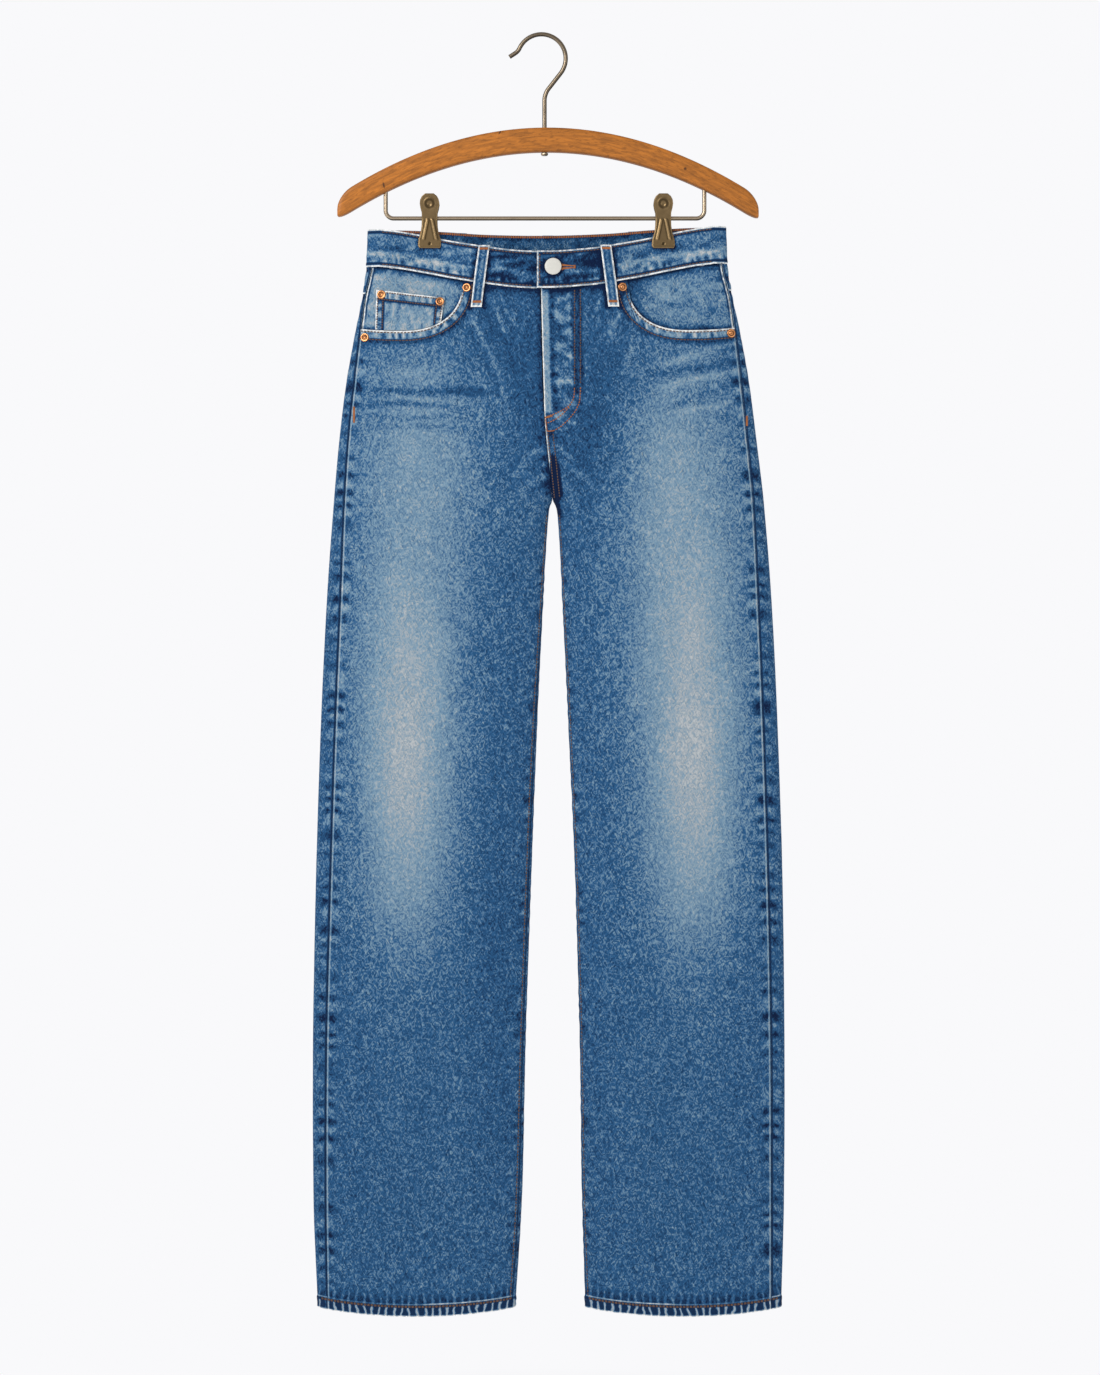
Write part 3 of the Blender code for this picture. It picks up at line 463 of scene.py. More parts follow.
def pocket_mouth(side, x, margin=0.0):
    """Height of the front pocket's curved edge, or of the waist seam beyond the pocket's corner."""
    run = OUTWARD[side] * (x - POCKET_CORNER[side]) + margin
    seam = waist_seam("front", x) - SEAM_GAP
    width = POCKET_MOUTH_WIDTH + margin
    depth = POCKET_MOUTH_DEPTH + margin
    beyond = np.maximum(0.0, run - width)
    share = np.clip(1 - run / width, 0, 1)
    bowl = (1 - share**POCKET_MOUTH_POWER) ** (1 / POCKET_MOUTH_POWER)
    top = waist_seam("front", POCKET_CORNER[side])
    mouth = np.minimum(seam, top - depth * bowl + POCKET_SIDE_RISE * (beyond / width) ** 2)
    return np.where(run <= 0, seam, mouth)


def hem_edge(side, z, x, angle):
    in_front = np.sin(angle) >= 0
    middle, half_width, _, _ = section(side, z, in_front)
    u = np.clip((x - middle) / half_width, -1, 1)
    dip = np.where(in_front, HEM_DIP, 0.7 * HEM_DIP)
    return HEM_Z - dip * (1 - u * u)


def hem_wear(above_hem):
    """How far the ropes of wear show: fully in the hem, and faintly in the cloth above it."""
    above = 0.5 * bell(above_hem - HEM_HEIGHT - 4 * MM, 7 * MM)
    return mix(above, 1, within(above_hem, HEM_HEIGHT))


# Grids of cloth between seams

Grid = namedtuple("Grid", "points normals x z from_first from_last from_top from_bottom from_sides")


def lifted(grid, height):
    return grid.points + grid.normals * np.asarray(height)[..., None]


def runs(points, axis):
    """Distance along a grid's lines from their first points."""
    steps = np.linalg.norm(np.diff(points, axis=axis), axis=-1)
    shape = list(steps.shape)
    shape[axis] = 1
    return np.concatenate([np.zeros(shape), np.cumsum(steps, axis=axis)], axis=axis)


def as_grid(points, normals):
    from_first, from_top = runs(points, 1), runs(points, 0)
    from_last = from_first[:, -1:] - from_first
    edges = (from_first, from_last, from_top, from_top[-1] - from_top, np.minimum(from_first, from_last))
    return Grid(points, normals, points[..., 0], points[..., 2], *edges)


def grid_of(columns):
    """Grid of columns, each of points and normals."""
    return as_grid(*(np.stack(part, axis=1) for part in zip(*columns)))


def nearest(*distances):
    """The least of several distances at each point."""
    return np.minimum.reduce(np.broadcast_arrays(*distances))


def seam_grid(side, first, last, top, bottom, columns, rows, span):
    """Grid between two seams. Columns stand at shares of the cloth's width from the first seam to
    the last, and run from the top edge to the bottom edge within the span of heights."""
    levels = np.arange(span[0], span[1], 2.5 * MM)
    table = np.empty((len(levels), len(columns)))
    for k, z in enumerate(levels):
        low = float(first(z)) + float(seam_trim(side, z, first(z)))
        high = float(last(z)) - float(seam_trim(side, z, last(z)))
        angles = np.linspace(low, high, 500)
        length = runs(cloth_points(side, z, angles)[None], 1)[0]
        table[k] = np.interp(columns * length[-1], length, angles)

    def angles_of(z):
        return np.stack(
            [np.interp(z[..., j], levels, table[:, j]) for j in range(len(columns))], axis=-1
        )

    def settle(edge, start):
        z = np.full(len(columns), start)
        for _ in range(24):
            angle = angles_of(z)
            z = mix(z, edge(z, cloth_points(side, z, angle)[:, 0], angle), 0.6)
        return z

    upper = settle(top, span[1] - 10 * MM)
    lower = settle(bottom, span[0] + 10 * MM)
    z = mix(upper[None], lower[None], rows[:, None])
    return as_grid(*cloth_frames(side, z, angles_of(z)))


def edge_distance(points, line):
    """How far points are from a dense line, and how far along it they lie."""
    length = runs(line[None], 1)[0]
    flat = points.reshape(-1, 3)
    distance = np.empty(len(flat))
    along = np.empty(len(flat))
    for start in range(0, len(flat), 4000):
        block = flat[start : start + 4000]
        gaps = np.linalg.norm(block[:, None] - line[None], axis=2)
        nearest = gaps.argmin(axis=1)
        distance[start : start + 4000] = gaps[np.arange(len(block)), nearest]
        along[start : start + 4000] = length[nearest]
    return distance.reshape(points.shape[:-1]), along.reshape(points.shape[:-1])


def pucker(along, pitch, seed=0.0):
    """Uneven waves from -1 to 1 along a seam."""
    turns = 2 * math.pi * along / pitch
    wander = 1.5 * np.sin(turns / 4.3 + seed) + 0.9 * np.sin(turns / 2.7 + 2 * seed)
    strength = 0.7 + 0.3 * np.sin(turns / 5.9 + 3 * seed)
    return strength * np.sin(turns + wander)


# Building meshes


def link_object(name, data):
    made = bpy.data.objects.new(name, data)
    bpy.context.scene.collection.objects.link(made)
    return made


def link_mesh(name, points, faces, material, fields=None, sharp_degrees=50):
    mesh = bpy.data.meshes.new(name)
    mesh.from_pydata(np.asarray(points).tolist(), [], faces)
    for field, values in (fields or {}).items():
        attribute = mesh.attributes.new(field, "FLOAT", "POINT")
        attribute.data.foreach_set("value", np.asarray(values, np.float32).ravel())
    mesh.shade_smooth()
    mesh.set_sharp_from_angle(angle=math.radians(sharp_degrees))
    mesh.materials.append(material)
    return link_object(name, mesh)


def places_in(rows, columns):
    """The index of each point of a grid."""
    return np.arange(rows * columns).reshape(rows, columns)


def wall(name, material, outer, inner, fields, inner_fields):
    """A closed wall between two grids of points. Fields are numbers for each outer point, and
    inner_fields for each inner point, or one number for the whole face."""
    row_count, column_count = outer.shape[:2]
    size = row_count * column_count
    index = places_in(row_count, column_count)
    square = np.stack([index[:-1, :-1], index[1:, :-1], index[1:, 1:], index[:-1, 1:]], axis=-1)
    square = square.reshape(-1, 4)
    rim = np.concatenate([index[:, 0], index[-1, 1:], index[-2::-1, -1], index[0, -2:0:-1]])
    after = np.roll(rim, -1)
    side = np.stack([rim, rim + size, after + size, after], axis=-1)
    faces = np.concatenate([square, square[:, ::-1] + size, side])
    diagonals = np.cross(outer[1:, 1:] - outer[:-1, :-1], outer[:-1, 1:] - outer[1:, :-1])
    if np.sum(diagonals * (outer - inner)[:-1, :-1]) < 0:
        faces = faces[:, ::-1]
    points = np.concatenate([outer.reshape(-1, 3), inner.reshape(-1, 3)])
    joined = {}
    for field, values in fields.items():
        values = np.broadcast_to(values, (row_count, column_count)).ravel()
        lining = np.broadcast_to(inner_fields.get(field, NOWHERE), (row_count, column_count)).ravel()
        joined[field] = np.concatenate([values, lining])
    return link_mesh(name, points, faces.tolist(), material, joined)


def cloth_wall(name, grid, outer, inner, level, bright, dark, hem=None, lining=INSIDE_LEVEL):
    """A wall of denim between two heights over a grid, or one denim thick, with the level of its wear and
    painted shade, its distance from worn folds and from dark lines of unworn dye and painted shade, and the
    ropes of its hem."""
    if inner is None:
        inner = np.minimum(outer, 0.5 * MM) - DENIM
    fields = {"level": level, "bright": bright / MM, "dark": dark / MM}
    inside = {"level": lining}
    if hem is not None:
        fields["hem"] = hem
        inside["hem"] = 0.0
    return wall(name + "_denim", washed_denim(), lifted(grid, outer), lifted(grid, inner), fields, inside)


def belongs(made, slot, *nodes):
    """The piece stands for these nodes and moves with the part. The slot is not used."""
    if nodes:
        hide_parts(*nodes)
    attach(made, "root")
    return made


# Where the wash and wear have taken the dye: levels run from 0, unworn, to 1, white. Painted shade and
# painted highlights are added to the same levels where noted

FADE_COLUMNS = "x z half_width above below power strength"
FRONT_FADES = rows_of(
    FADE_COLUMNS,
    (-136, -790, 46, 190, 130, 2.4, 0.24),
    (-134, -640, 66, 210, 210, 2.0, 0.26),
    (-120, -390, 68, 90, 140, 2.0, 0.23),
    (152, -800, 46, 190, 130, 2.4, 0.25),
    (148, -640, 66, 220, 210, 2.0, 0.27),
    (126, -420, 68, 110, 150, 2.0, 0.23),
    (8, -360, 50, 110, 70, 2.0, -0.13),
    (70, -330, 30, 70, 110, 2.0, -0.10),
    (-60, -300, 40, 40, 50, 2.0, -0.08),
    (44, -420, 34, 50, 70, 2.0, -0.11),
    (-44, -900, 28, 230, 200, 2.0, -0.07),
)
BACK_FADES = rows_of(
    FADE_COLUMNS,
    (-100, -430, 80, 110, 110, 2.2, 0.26),
    (112, -430, 80, 110, 110, 2.2, 0.26),
    (-112, -720, 56, 220, 200, 2.0, 0.16),
    (130, -720, 56, 220, 200, 2.0, 0.16),
    (10, -500, 34, 160, 90, 2.0, -0.10),
)
PLAIN_LEVEL = 0.445

# Soft ridges, and troughs where the height is negative: whiskers and creases pressed in by wear, and pulls
# and slack folds of the hanging cloth, whose change in level is painted highlight on ridges and painted
# shade in troughs. Each runs from one end to the other, with half width and height in millimetres and the
# change in level along the ridge
RIDGE_COLUMNS = "x1 z1 x2 z2 half_width height shade"
FRONT_RIDGES = rows_of(
    RIDGE_COLUMNS,
    # Whiskers on the right hip
    (-188, -334, -84, -342, 5.0, 0.5, 0.03),
    (-188, -350, -40, -362, 4.0, -0.6, -0.15),
    (-184, -358, -60, -368, 2.6, 0.5, 0.06),
    (-180, -368, -66, -373, 2.8, -0.5, -0.11),
    (-176, -378, -60, -384, 2.6, -0.4, -0.08),
    (-168, -388, -56, -398, 3.0, -0.4, -0.07),
    # Whiskers on the left hip
    (196, -308, 108, -330, 3.6, 0.5, 0.08),
    (198, -320, 92, -346, 3.4, -0.5, -0.09),
    (200, -334, 112, -356, 3.4, 0.5, 0.08),
    (202, -348, 118, -372, 3.0, -0.4, -0.06),
    (204, -360, 132, -380, 3.4, 0.4, 0.07),
    # Pulls from the pockets' corners and the loops: partly worn pale, partly painted highlight and shade
    (-74, -266, -34, -368, 2.2, 0.6, 0.13),
    (-66, -262, -12, -352, 3.6, -0.5, -0.04),
    (-54, -256, -33, -306, 2.0, 0.5, 0.14),
    (-44, -253, -22, -300, 1.8, 0.4, 0.10),
    (-78, -330, -20, -390, 3.2, 0.4, 0.05),
    (80, -270, 66, -314, 2.6, 0.6, 0.15),
    (73, -280, 46, -326, 2.2, 0.5, 0.10),
    (60, -256, 50, -290, 2.0, 0.4, 0.09),
    (92, -300, 84, -340, 3.2, 0.4, 0.06),
    # Star of creases round the crotch
    (12, -405, 34, -428, 2.4, 0.7, 0.15),
    (14, -420, 52, -452, 2.8, 0.6, 0.10),
    (16, -436, 40, -482, 2.8, 0.5, 0.08),
    (0, -412, -30, -440, 2.6, 0.6, 0.08),
    (4, -432, -36, -474, 3.0, 0.5, 0.07),
    (6, -448, -20, -500, 2.8, 0.4, 0.06),
    (20, -398, 44, -408, 2.2, 0.5, 0.08),
    # Broad slack folds down the legs, with a painted highlight along each
    (-160, -520, -120, -640, 16, 0.9, 0.02),
    (-110, -560, -96, -700, 14, 0.7, 0.02),
    (176, -500, 142, -640, 16, 0.9, 0.02),
    (112, -560, 106, -690, 14, 0.7, 0.02),
    (-150, -930, -142, -1120, 18, 0.7, 0.01),
    (-84, -980, -90, -1190, 16, 0.6, 0.01),
    (160, -940, 154, -1130, 18, 0.7, 0.01),
    (92, -980, 96, -1180, 16, 0.6, 0.01),
)
BACK_RIDGES = rows_of(
    RIDGE_COLUMNS,
    (-176, -470, -60, -500, 5.0, 0.8, 0.08),
    (-168, -486, -50, -520, 4.0, -0.6, -0.05),
    (-160, -502, -44, -545, 5.0, 0.7, 0.06),
    (190, -466, 72, -498, 5.0, 0.8, 0.08),
    (182, -484, 64, -518, 4.0, -0.6, -0.05),
    (172, -498, 58, -548, 5.0, 0.7, 0.06),
    (-190, -760, -60, -778, 5.0, 0.8, 0.09),
    (-196, -790, -48, -800, 4.4, -0.6, -0.05),
    (-190, -812, -66, -836, 5.4, 0.8, 0.07),
    (-182, -850, -80, -862, 4.4, 0.6, 0.05),
    (204, -756, 76, -780, 5.0, 0.8, 0.09),
    (210, -786, 62, -804, 4.4, -0.6, -0.05),
    (202, -816, 84, -834, 5.4, 0.8, 0.07),
    (196, -846, 96, -868, 4.4, 0.6, 0.05),
    (6, -470, -30, -505, 3.0, 0.6, 0.08),
    (14, -470, 46, -508, 3.0, 0.6, 0.08),
    (-150, -900, -134, -1150, 18, 0.8, 0.01),
    (166, -900, 150, -1150, 18, 0.8, 0.01),
)


def fade_level(fades, x, z, wash):
    """Change in level that soft fades make, with ragged edges."""
    ragged = cloud(x, z, 5 * MM, 34 * MM, 3.0) * 6 * MM + cloud(x, z, 34 * MM, 60 * MM, 4.0) * 12 * MM
    total = np.zeros(np.shape(x))
    for patch in fades:
        across = abs(x - patch.x * MM + 0.3 * ragged) / (patch.half_width * MM)
        rise = z - patch.z * MM + ragged
        along = np.where(rise > 0, rise / (patch.above * MM), -rise / (patch.below * MM))
        total += patch.strength * np.exp(-(across**patch.power) - along**patch.power)
    return wash * total


def ridge_relief(ridges, x, z):
    """(height, change in level) that ridges add."""
    height = np.zeros(np.shape(x))
    level = np.zeros(np.shape(x))
    for ridge in ridges:
        start = np.array([ridge.x1, ridge.z1]) * MM
        run = np.array([ridge.x2, ridge.z2]) * MM - start
        length = np.linalg.norm(run)
        share = ((x - start[0]) * run[0] + (z - start[1]) * run[1]) / length**2
        wave = 0.12 * length * 0.2 * np.sin(share * 5 + ridge.x1)
        away = ((z - start[1]) * run[0] - (x - start[0]) * run[1]) / length + wave
        taper = np.clip(1 - (2 * share - 1) ** 4, 0, 1) * ((share > 0) & (share < 1))
        strength = taper * bell(away, ridge.half_width * MM)
        height += ridge.height * MM * strength
        level += 2.0 * ridge.shade * strength
    return height, level


def railroad(distance, along, settings, seed, reach=10 * MM):
    """(height, change in level) beside a shrunk seam: worn crests between dark hollows."""
    waves = pucker(along + 0.2 * distance, settings.pucker_pitch, seed)
    height = settings.pucker_height * waves * bell(distance - 3.5 * MM, reach * 0.6)
    crests, hollows = np.clip(waves, 0, 1), np.clip(-waves - 0.15, 0, 1)
    return height, (0.22 * crests - 0.70 * hollows) * bell(distance - 4.5 * MM, reach * 0.45)


def loop_shadow(layer, x, z):
    """Painted shadow beside the belt loops of the front or back."""
    total = np.zeros(np.shape(x))
    for loop in LOOPS:
        if loop.layer == layer:
            down = (waist_top(layer, loop.head_x) - z) / LOOP_LENGTH
            away = abs(x - mix(loop.head_x, loop.foot_x, down)) - LOOP_WIDTH / 2
            total += 0.62 * bell(away - 0.8 * MM, 3.0 * MM) * fade(down, 0.98, 1.05)
    return total


def slack(x, z, layer):
    """Gentle unevenness of hanging cloth."""
    seed = 0.0 if layer == "front" else 7.0
    broad = 0.45 * MM * cloud(x, z, 60 * MM, 150 * MM, seed)
    return broad + 0.14 * MM * cloud(x, z, 16 * MM, 34 * MM, seed + 1)


def jeans_settings():
    return bpy.context.scene.jeans_denim


def finish_colours():
    return bpy.context.scene.jeans_colours


# Fronts and backs

LEG_LENGTH = 1010 * MM
LEG_FOOT_Z = -1292 * MM


def shares_along(reach, pitch, close, near):
    """Shares of a length, close together near its ends."""
    return crowded(0, reach, pitch, close, (0, reach), near) / reach


def front_columns(side, settings):
    """Shares of a front's width, close together at its seams and the pocket's corner."""
    z = np.array(-285 * MM)
    angles = np.linspace(side_seam(side, z), inner_seam(side, "front", z), 500)
    points = cloth_points(side, z, angles)
    length = runs(points[None], 1)[0]
    order = np.argsort(points[:, 0])
    corner = float(np.interp(POCKET_CORNER[side], points[order, 0], length[order]))
    places = (0, corner - 1 * MM, length[-1])
    found = crowded(0, length[-1], settings.column_pitch, 0.9 * MM, places, 8 * MM)
    return found / length[-1]


def fly_width(z):
    down = np.clip((FLY_CURVE_TOP_Z - z) / (FLY_CURVE_TOP_Z - FLY_BOTTOM_Z), 0, None)
    return FLY_WIDTH * np.sqrt(np.clip(1 - down**2, 0, 1))


def fly_relief(x, z):
    """(height, change in level) of the left front's fly: its folded edge, and the doubled cloth that buttons
    have crumpled beneath it, with painted highlights and painted shade on the crumples and painted shade
    beyond the strip's raised edge."""
    run = x - read(CENTRES, "front", z)
    width = fly_width(z)
    there = (z > FLY_BOTTOM_Z) & (run >= 0)
    height = np.where(there, FLY_PROUD * fade(run, width - 6 * MM, width), 0)
    strip = there & (z > FLY_STRIP_END_Z)
    height += np.where(strip, 0.5 * MM * fade(run, FLY_STRIP - 0.6 * MM, FLY_STRIP + 0.6 * MM), 0)
    between = np.where(there, fade(abs(run - 20 * MM), 8 * MM, 14 * MM), 0)
    crumple = cloud(x, z, 12 * MM, 7 * MM, 11.0) + 0.6 * cloud(x + z, z, 5 * MM, 6 * MM, 12.0)
    height += 0.7 * MM * between * crumple
    # Painted highlights and shade on the crumples
    level = 0.55 * between * crumple + 0.16 * between
    level += np.where(strip, 0.43 * fade(run, FLY_STRIP - 1 * MM, FLY_STRIP), 0)
    beside_rows = sum(bell(run - row, 2.2 * MM) for row in FLY_ROWS)
    level -= np.where(z > FLY_ROWS_END_Z, 0.30 * beside_rows, 0)
    level += np.where(z > FLY_ROWS_END_Z, 0.16 * bell(run - 43.5 * MM, 2.5 * MM) * (1 + crumple), 0)
    # Painted shade beyond the strip's raised edge
    level -= np.where(strip, 0.45 * bell(run - FLY_STRIP - 1.6 * MM, 1.6 * MM), 0)
    return height, level


Hem = namedtuple("Hem", "above roped height level bright dark")


def turned_hem(side, angle, x, z, seed):
    """A hem's height above its edge, its rope of slanting wear, relief, level and lines."""
    above = z - hem_edge(side, z, x, angle)
    roped = pucker(x + 0.8 * above, 7 * MM, seed)
    turned = within(above, HEM_HEIGHT)
    return Hem(
        above,
        roped,
        turned * (HEM_PROUD * 0.8 + 0.25 * MM * roped),
        -0.34 * bell(above - HEM_HEIGHT - 2 * MM, 6 * MM),
        nearest(abs(above - HEM_HEIGHT - 1.8 * MM) + 1.2 * MM, above + 0.9 * MM),
        abs(above - HEM_HEIGHT + 0.6 * MM) + 0.2 * MM,
    )


def make_front(side):
    settings = jeans_settings()
    grid = seam_grid(
        side,
        lambda z: side_seam(side, z),
        lambda z: inner_seam(side, "front", z),
        lambda z, x, angle: pocket_mouth(side, x),
        lambda z, x, angle: hem_edge(side, z, x, angle),
        front_columns(side, settings),
        shares_along(LEG_LENGTH, settings.row_pitch, 1.1 * MM, 12 * MM),
        (LEG_FOOT_Z, -220 * MM),
    )
    x, z = grid.x, grid.z
    seed = OUTWARD[side]
    height, level = ridge_relief(FRONT_RIDGES, x, z)
    height += slack(x, z, "front")
    level += PLAIN_LEVEL + fade_level(FRONT_FADES, x, z, settings.wash)

    # The pocket's mouth has a turned band, the rest of the top edge meets the waistband
    corner_share = OUTWARD[side] * (x - POCKET_CORNER[side])
    edge = grid.points[0][corner_share[0] >= 0]
    dense = np.concatenate([np.linspace(a, b, 24) for a, b in zip(edge[:-1], edge[1:])])
    mouth = np.full(x.shape, NOWHERE)
    along = np.zeros(x.shape)
    near = z > -345 * MM
    mouth[near], along[near] = edge_distance(grid.points[near], dense)
    band = within(mouth, MOUTH_BAND)
    waves = pucker(along, 8.5 * MM, seed)
    height += band * (0.45 * MM + 0.3 * MM * waves * bell(mouth - 5 * MM, 3.6 * MM))
    level += band * (0.17 + 0.55 * waves * bell(mouth - 5 * MM, 3.4 * MM))
    # Painted shadow on the cloth beyond the raised mouth band
    level -= 0.34 * bell(mouth - MOUTH_BAND - 1.6 * MM, 2.6 * MM)
    # Painted shadow under the waistband and beside the belt loops
    under_band = np.where(corner_share < 0, grid.from_top, NOWHERE)
    level -= 0.40 * bell(under_band, 6 * MM) + loop_shadow("front", x, z)

    # Outseam, inseam and centre seam
    on_leg = 1 - fade(CROTCH_Z - z, -20 * MM, -4 * MM)
    below_fly = fade(abs(z + 430 * MM), 30 * MM, 44 * MM)
    for distance, phase, reach, raising, fading in (
        (grid.from_first, 0, 10 * MM, 1, 1),
        (grid.from_last, 2, 7 * MM, 0.7 * on_leg, 0.6 * on_leg),
        (grid.from_last, 4, 9 * MM, below_fly, below_fly),
    ):
        seam_height, seam_level = railroad(distance, z, settings, seed + phase, reach)
        height += raising * seam_height
        level += fading * seam_level
    # Painted shadow in the gap between the fronts just above the crotch
    crotch = fade(abs(z + 452 * MM), 16 * MM, 34 * MM)
    if side == "left":
        fly_height, fly_level = fly_relief(x, z)
        height += fly_height
        level += fly_level - 1.2 * crotch * fade(abs(grid.from_last - 4.5 * MM), 3 * MM, 6 * MM)
    else:
        # Painted shade on the right front under the fly's edge, and in the gap above the crotch
        level -= 0.22 * bell(grid.from_last, 3.5 * MM) * (1 - on_leg)
        level -= 0.3 * crotch * bell(grid.from_last, 2.5 * MM)

    # Hem, and the worn folds and dark lines of unworn dye and painted shade
    hem = turned_hem(side, np.full(x.shape, FRONT_ANGLE), x, z, seed + 5)
    height += hem.height
    streaks = bell(hem.above - HEM_HEIGHT - 7 * MM, 7 * MM) * np.clip(hem.roped - 0.4, 0, 1)
    level += hem.level + 0.50 * streaks
    bright = nearest(0.8 * mouth, abs(grid.from_first - 1.4 * MM) + 1.3 * MM, hem.bright)
    if side == "left":
        edge = grid.from_last + 0.7 * MM + np.clip(-425 * MM - z, 0, 20 * MM) / 10
        bright = np.where(z > CROTCH_Z, nearest(bright, edge), bright)
    beside_band = abs(mouth - MOUTH_BAND) + 0.4 * MM
    dark = nearest(grid.from_first + 0.8 * MM, beside_band, hem.dark, under_band)
    height -= 0.5 * MM * bell(nearest(mouth, grid.from_first), 0.7 * MM)
    return cloth_wall(side + "_front", grid, height, None, level, bright, dark, hem_wear(hem.above))


def make_back(side):
    settings = jeans_settings()
    grid = seam_grid(
        side,
        lambda z: inner_seam(side, "back", z),
        lambda z: 2 * math.pi + side_seam(side, z),
        lambda z, x, angle: yoke_seam(x) - SEAM_GAP,
        lambda z, x, angle: hem_edge(side, z, x, angle),
        shares_along(250 * MM, settings.column_pitch, 1.4 * MM, 9 * MM),
        shares_along(LEG_LENGTH, settings.row_pitch, 1.1 * MM, 12 * MM),
        (LEG_FOOT_Z, -240 * MM),
    )
    x, z = grid.x, grid.z
    # What wraps round to the front takes the front's wear
    behind = fade(-grid.points[..., 1], -4 * MM, 6 * MM)
    height, level = ridge_relief(BACK_RIDGES, x, z)
    level = PLAIN_LEVEL + behind * (level + fade_level(BACK_FADES, x, z, settings.wash))
    level += (1 - behind) * 0.4 * fade_level(FRONT_FADES, x, z, settings.wash)
    height = behind * (height + slack(x, z, "back"))
    for distance, strength, phase in ((grid.from_last, 1.0, 0), (grid.from_first, 0.7, 2)):
        seam_height, seam_level = railroad(distance, z, settings, OUTWARD[side] + phase)
        height += strength * seam_height
        level += strength * seam_level
    angle = np.where(grid.points[..., 1] < 0, FRONT_ANGLE, BACK_ANGLE)
    hem = turned_hem(side, angle, x, z, OUTWARD[side] + 11)
    height += hem.height
    # Painted shade along the top edge, under the yoke seam
    level += hem.level - 0.12 * bell(grid.from_top, 3 * MM) * behind
    dark = nearest(grid.from_last, grid.from_first + 0.3 * MM, hem.dark)
    return cloth_wall(side + "_back", grid, height, None, level, hem.bright, dark, hem_wear(hem.above))


def make_yoke(side):
    def below_band(z, x, angle):
        return np.where(np.sin(angle) < 0, waist_seam("back", x), waist_seam("front", x)) - SEAM_GAP

    grid = seam_grid(
        side,
        lambda z: inner_seam(side, "back", z),
        lambda z: 2 * math.pi + side_seam(side, z),
        below_band,
        lambda z, x, angle: yoke_seam(x),
        shares_along(200 * MM, 3 * MM, 1.4 * MM, 8 * MM),
        shares_along(50 * MM, 2.2 * MM, 0.9 * MM, 5 * MM),
        (-330 * MM, -222 * MM),
    )
    x, z = grid.x, grid.z
    settings = jeans_settings()
    height, level = railroad(grid.from_bottom, x, settings, 12 + OUTWARD[side])
    side_height, side_level = railroad(grid.from_last, z, settings, OUTWARD[side])
    height += side_height + 0.5 * slack(x, z, "back")
    level = PLAIN_LEVEL + 0.07 + level + side_level + 0.10 * cloud(x, z, 30 * MM, 12 * MM, 5.0)
    # Painted shade along the top edge, under the waistband
    level -= 0.14 * bell(grid.from_top, 4 * MM)
    height += 0.4 * MM * fade(grid.from_bottom, 8 * MM, 9 * MM)
    return cloth_wall(side + "_yoke", grid, height, None, level, grid.from_bottom, grid.from_last)


# Waistband


def overlap_lift(x):
    return OVERLAP_LIFT * fade(x, OVERLAP_FLAT_END_X, OVERLAP_RAMP_END_X)


def band_columns():
    """The waistband's columns from its underlap, round the back, to its overlap, as
    (side, layer, x or angle, lift, distance along)."""
    spacing = 2.6 * MM
    stations = []

    def straight(layer, start, end, lifted=False, places=()):
        for x in crowded(start, end, spacing, 0.9 * MM, places, 5 * MM):
            side = "right" if x < float(read(CENTRES, layer, np.array(WAIST_TOP_Z))) else "left"
            stations.append((side, layer, x, float(overlap_lift(x)) if lifted else 0.0))

    turn = np.radians(np.linspace(26, -26, 15))
    straight("front", UNDERLAP_END_X, -158 * MM, places=(UNDERLAP_END_X,))
    stations.extend(("right", None, angle, 0.0) for angle in turn)
    straight("back", -158 * MM, 169 * MM)
    stations.extend(("left", None, angle, 0.0) for angle in turn[::-1])
    straight("front", 169 * MM, OVERLAP_END_X, lifted=True, places=(OVERLAP_END_X,))
    return stations


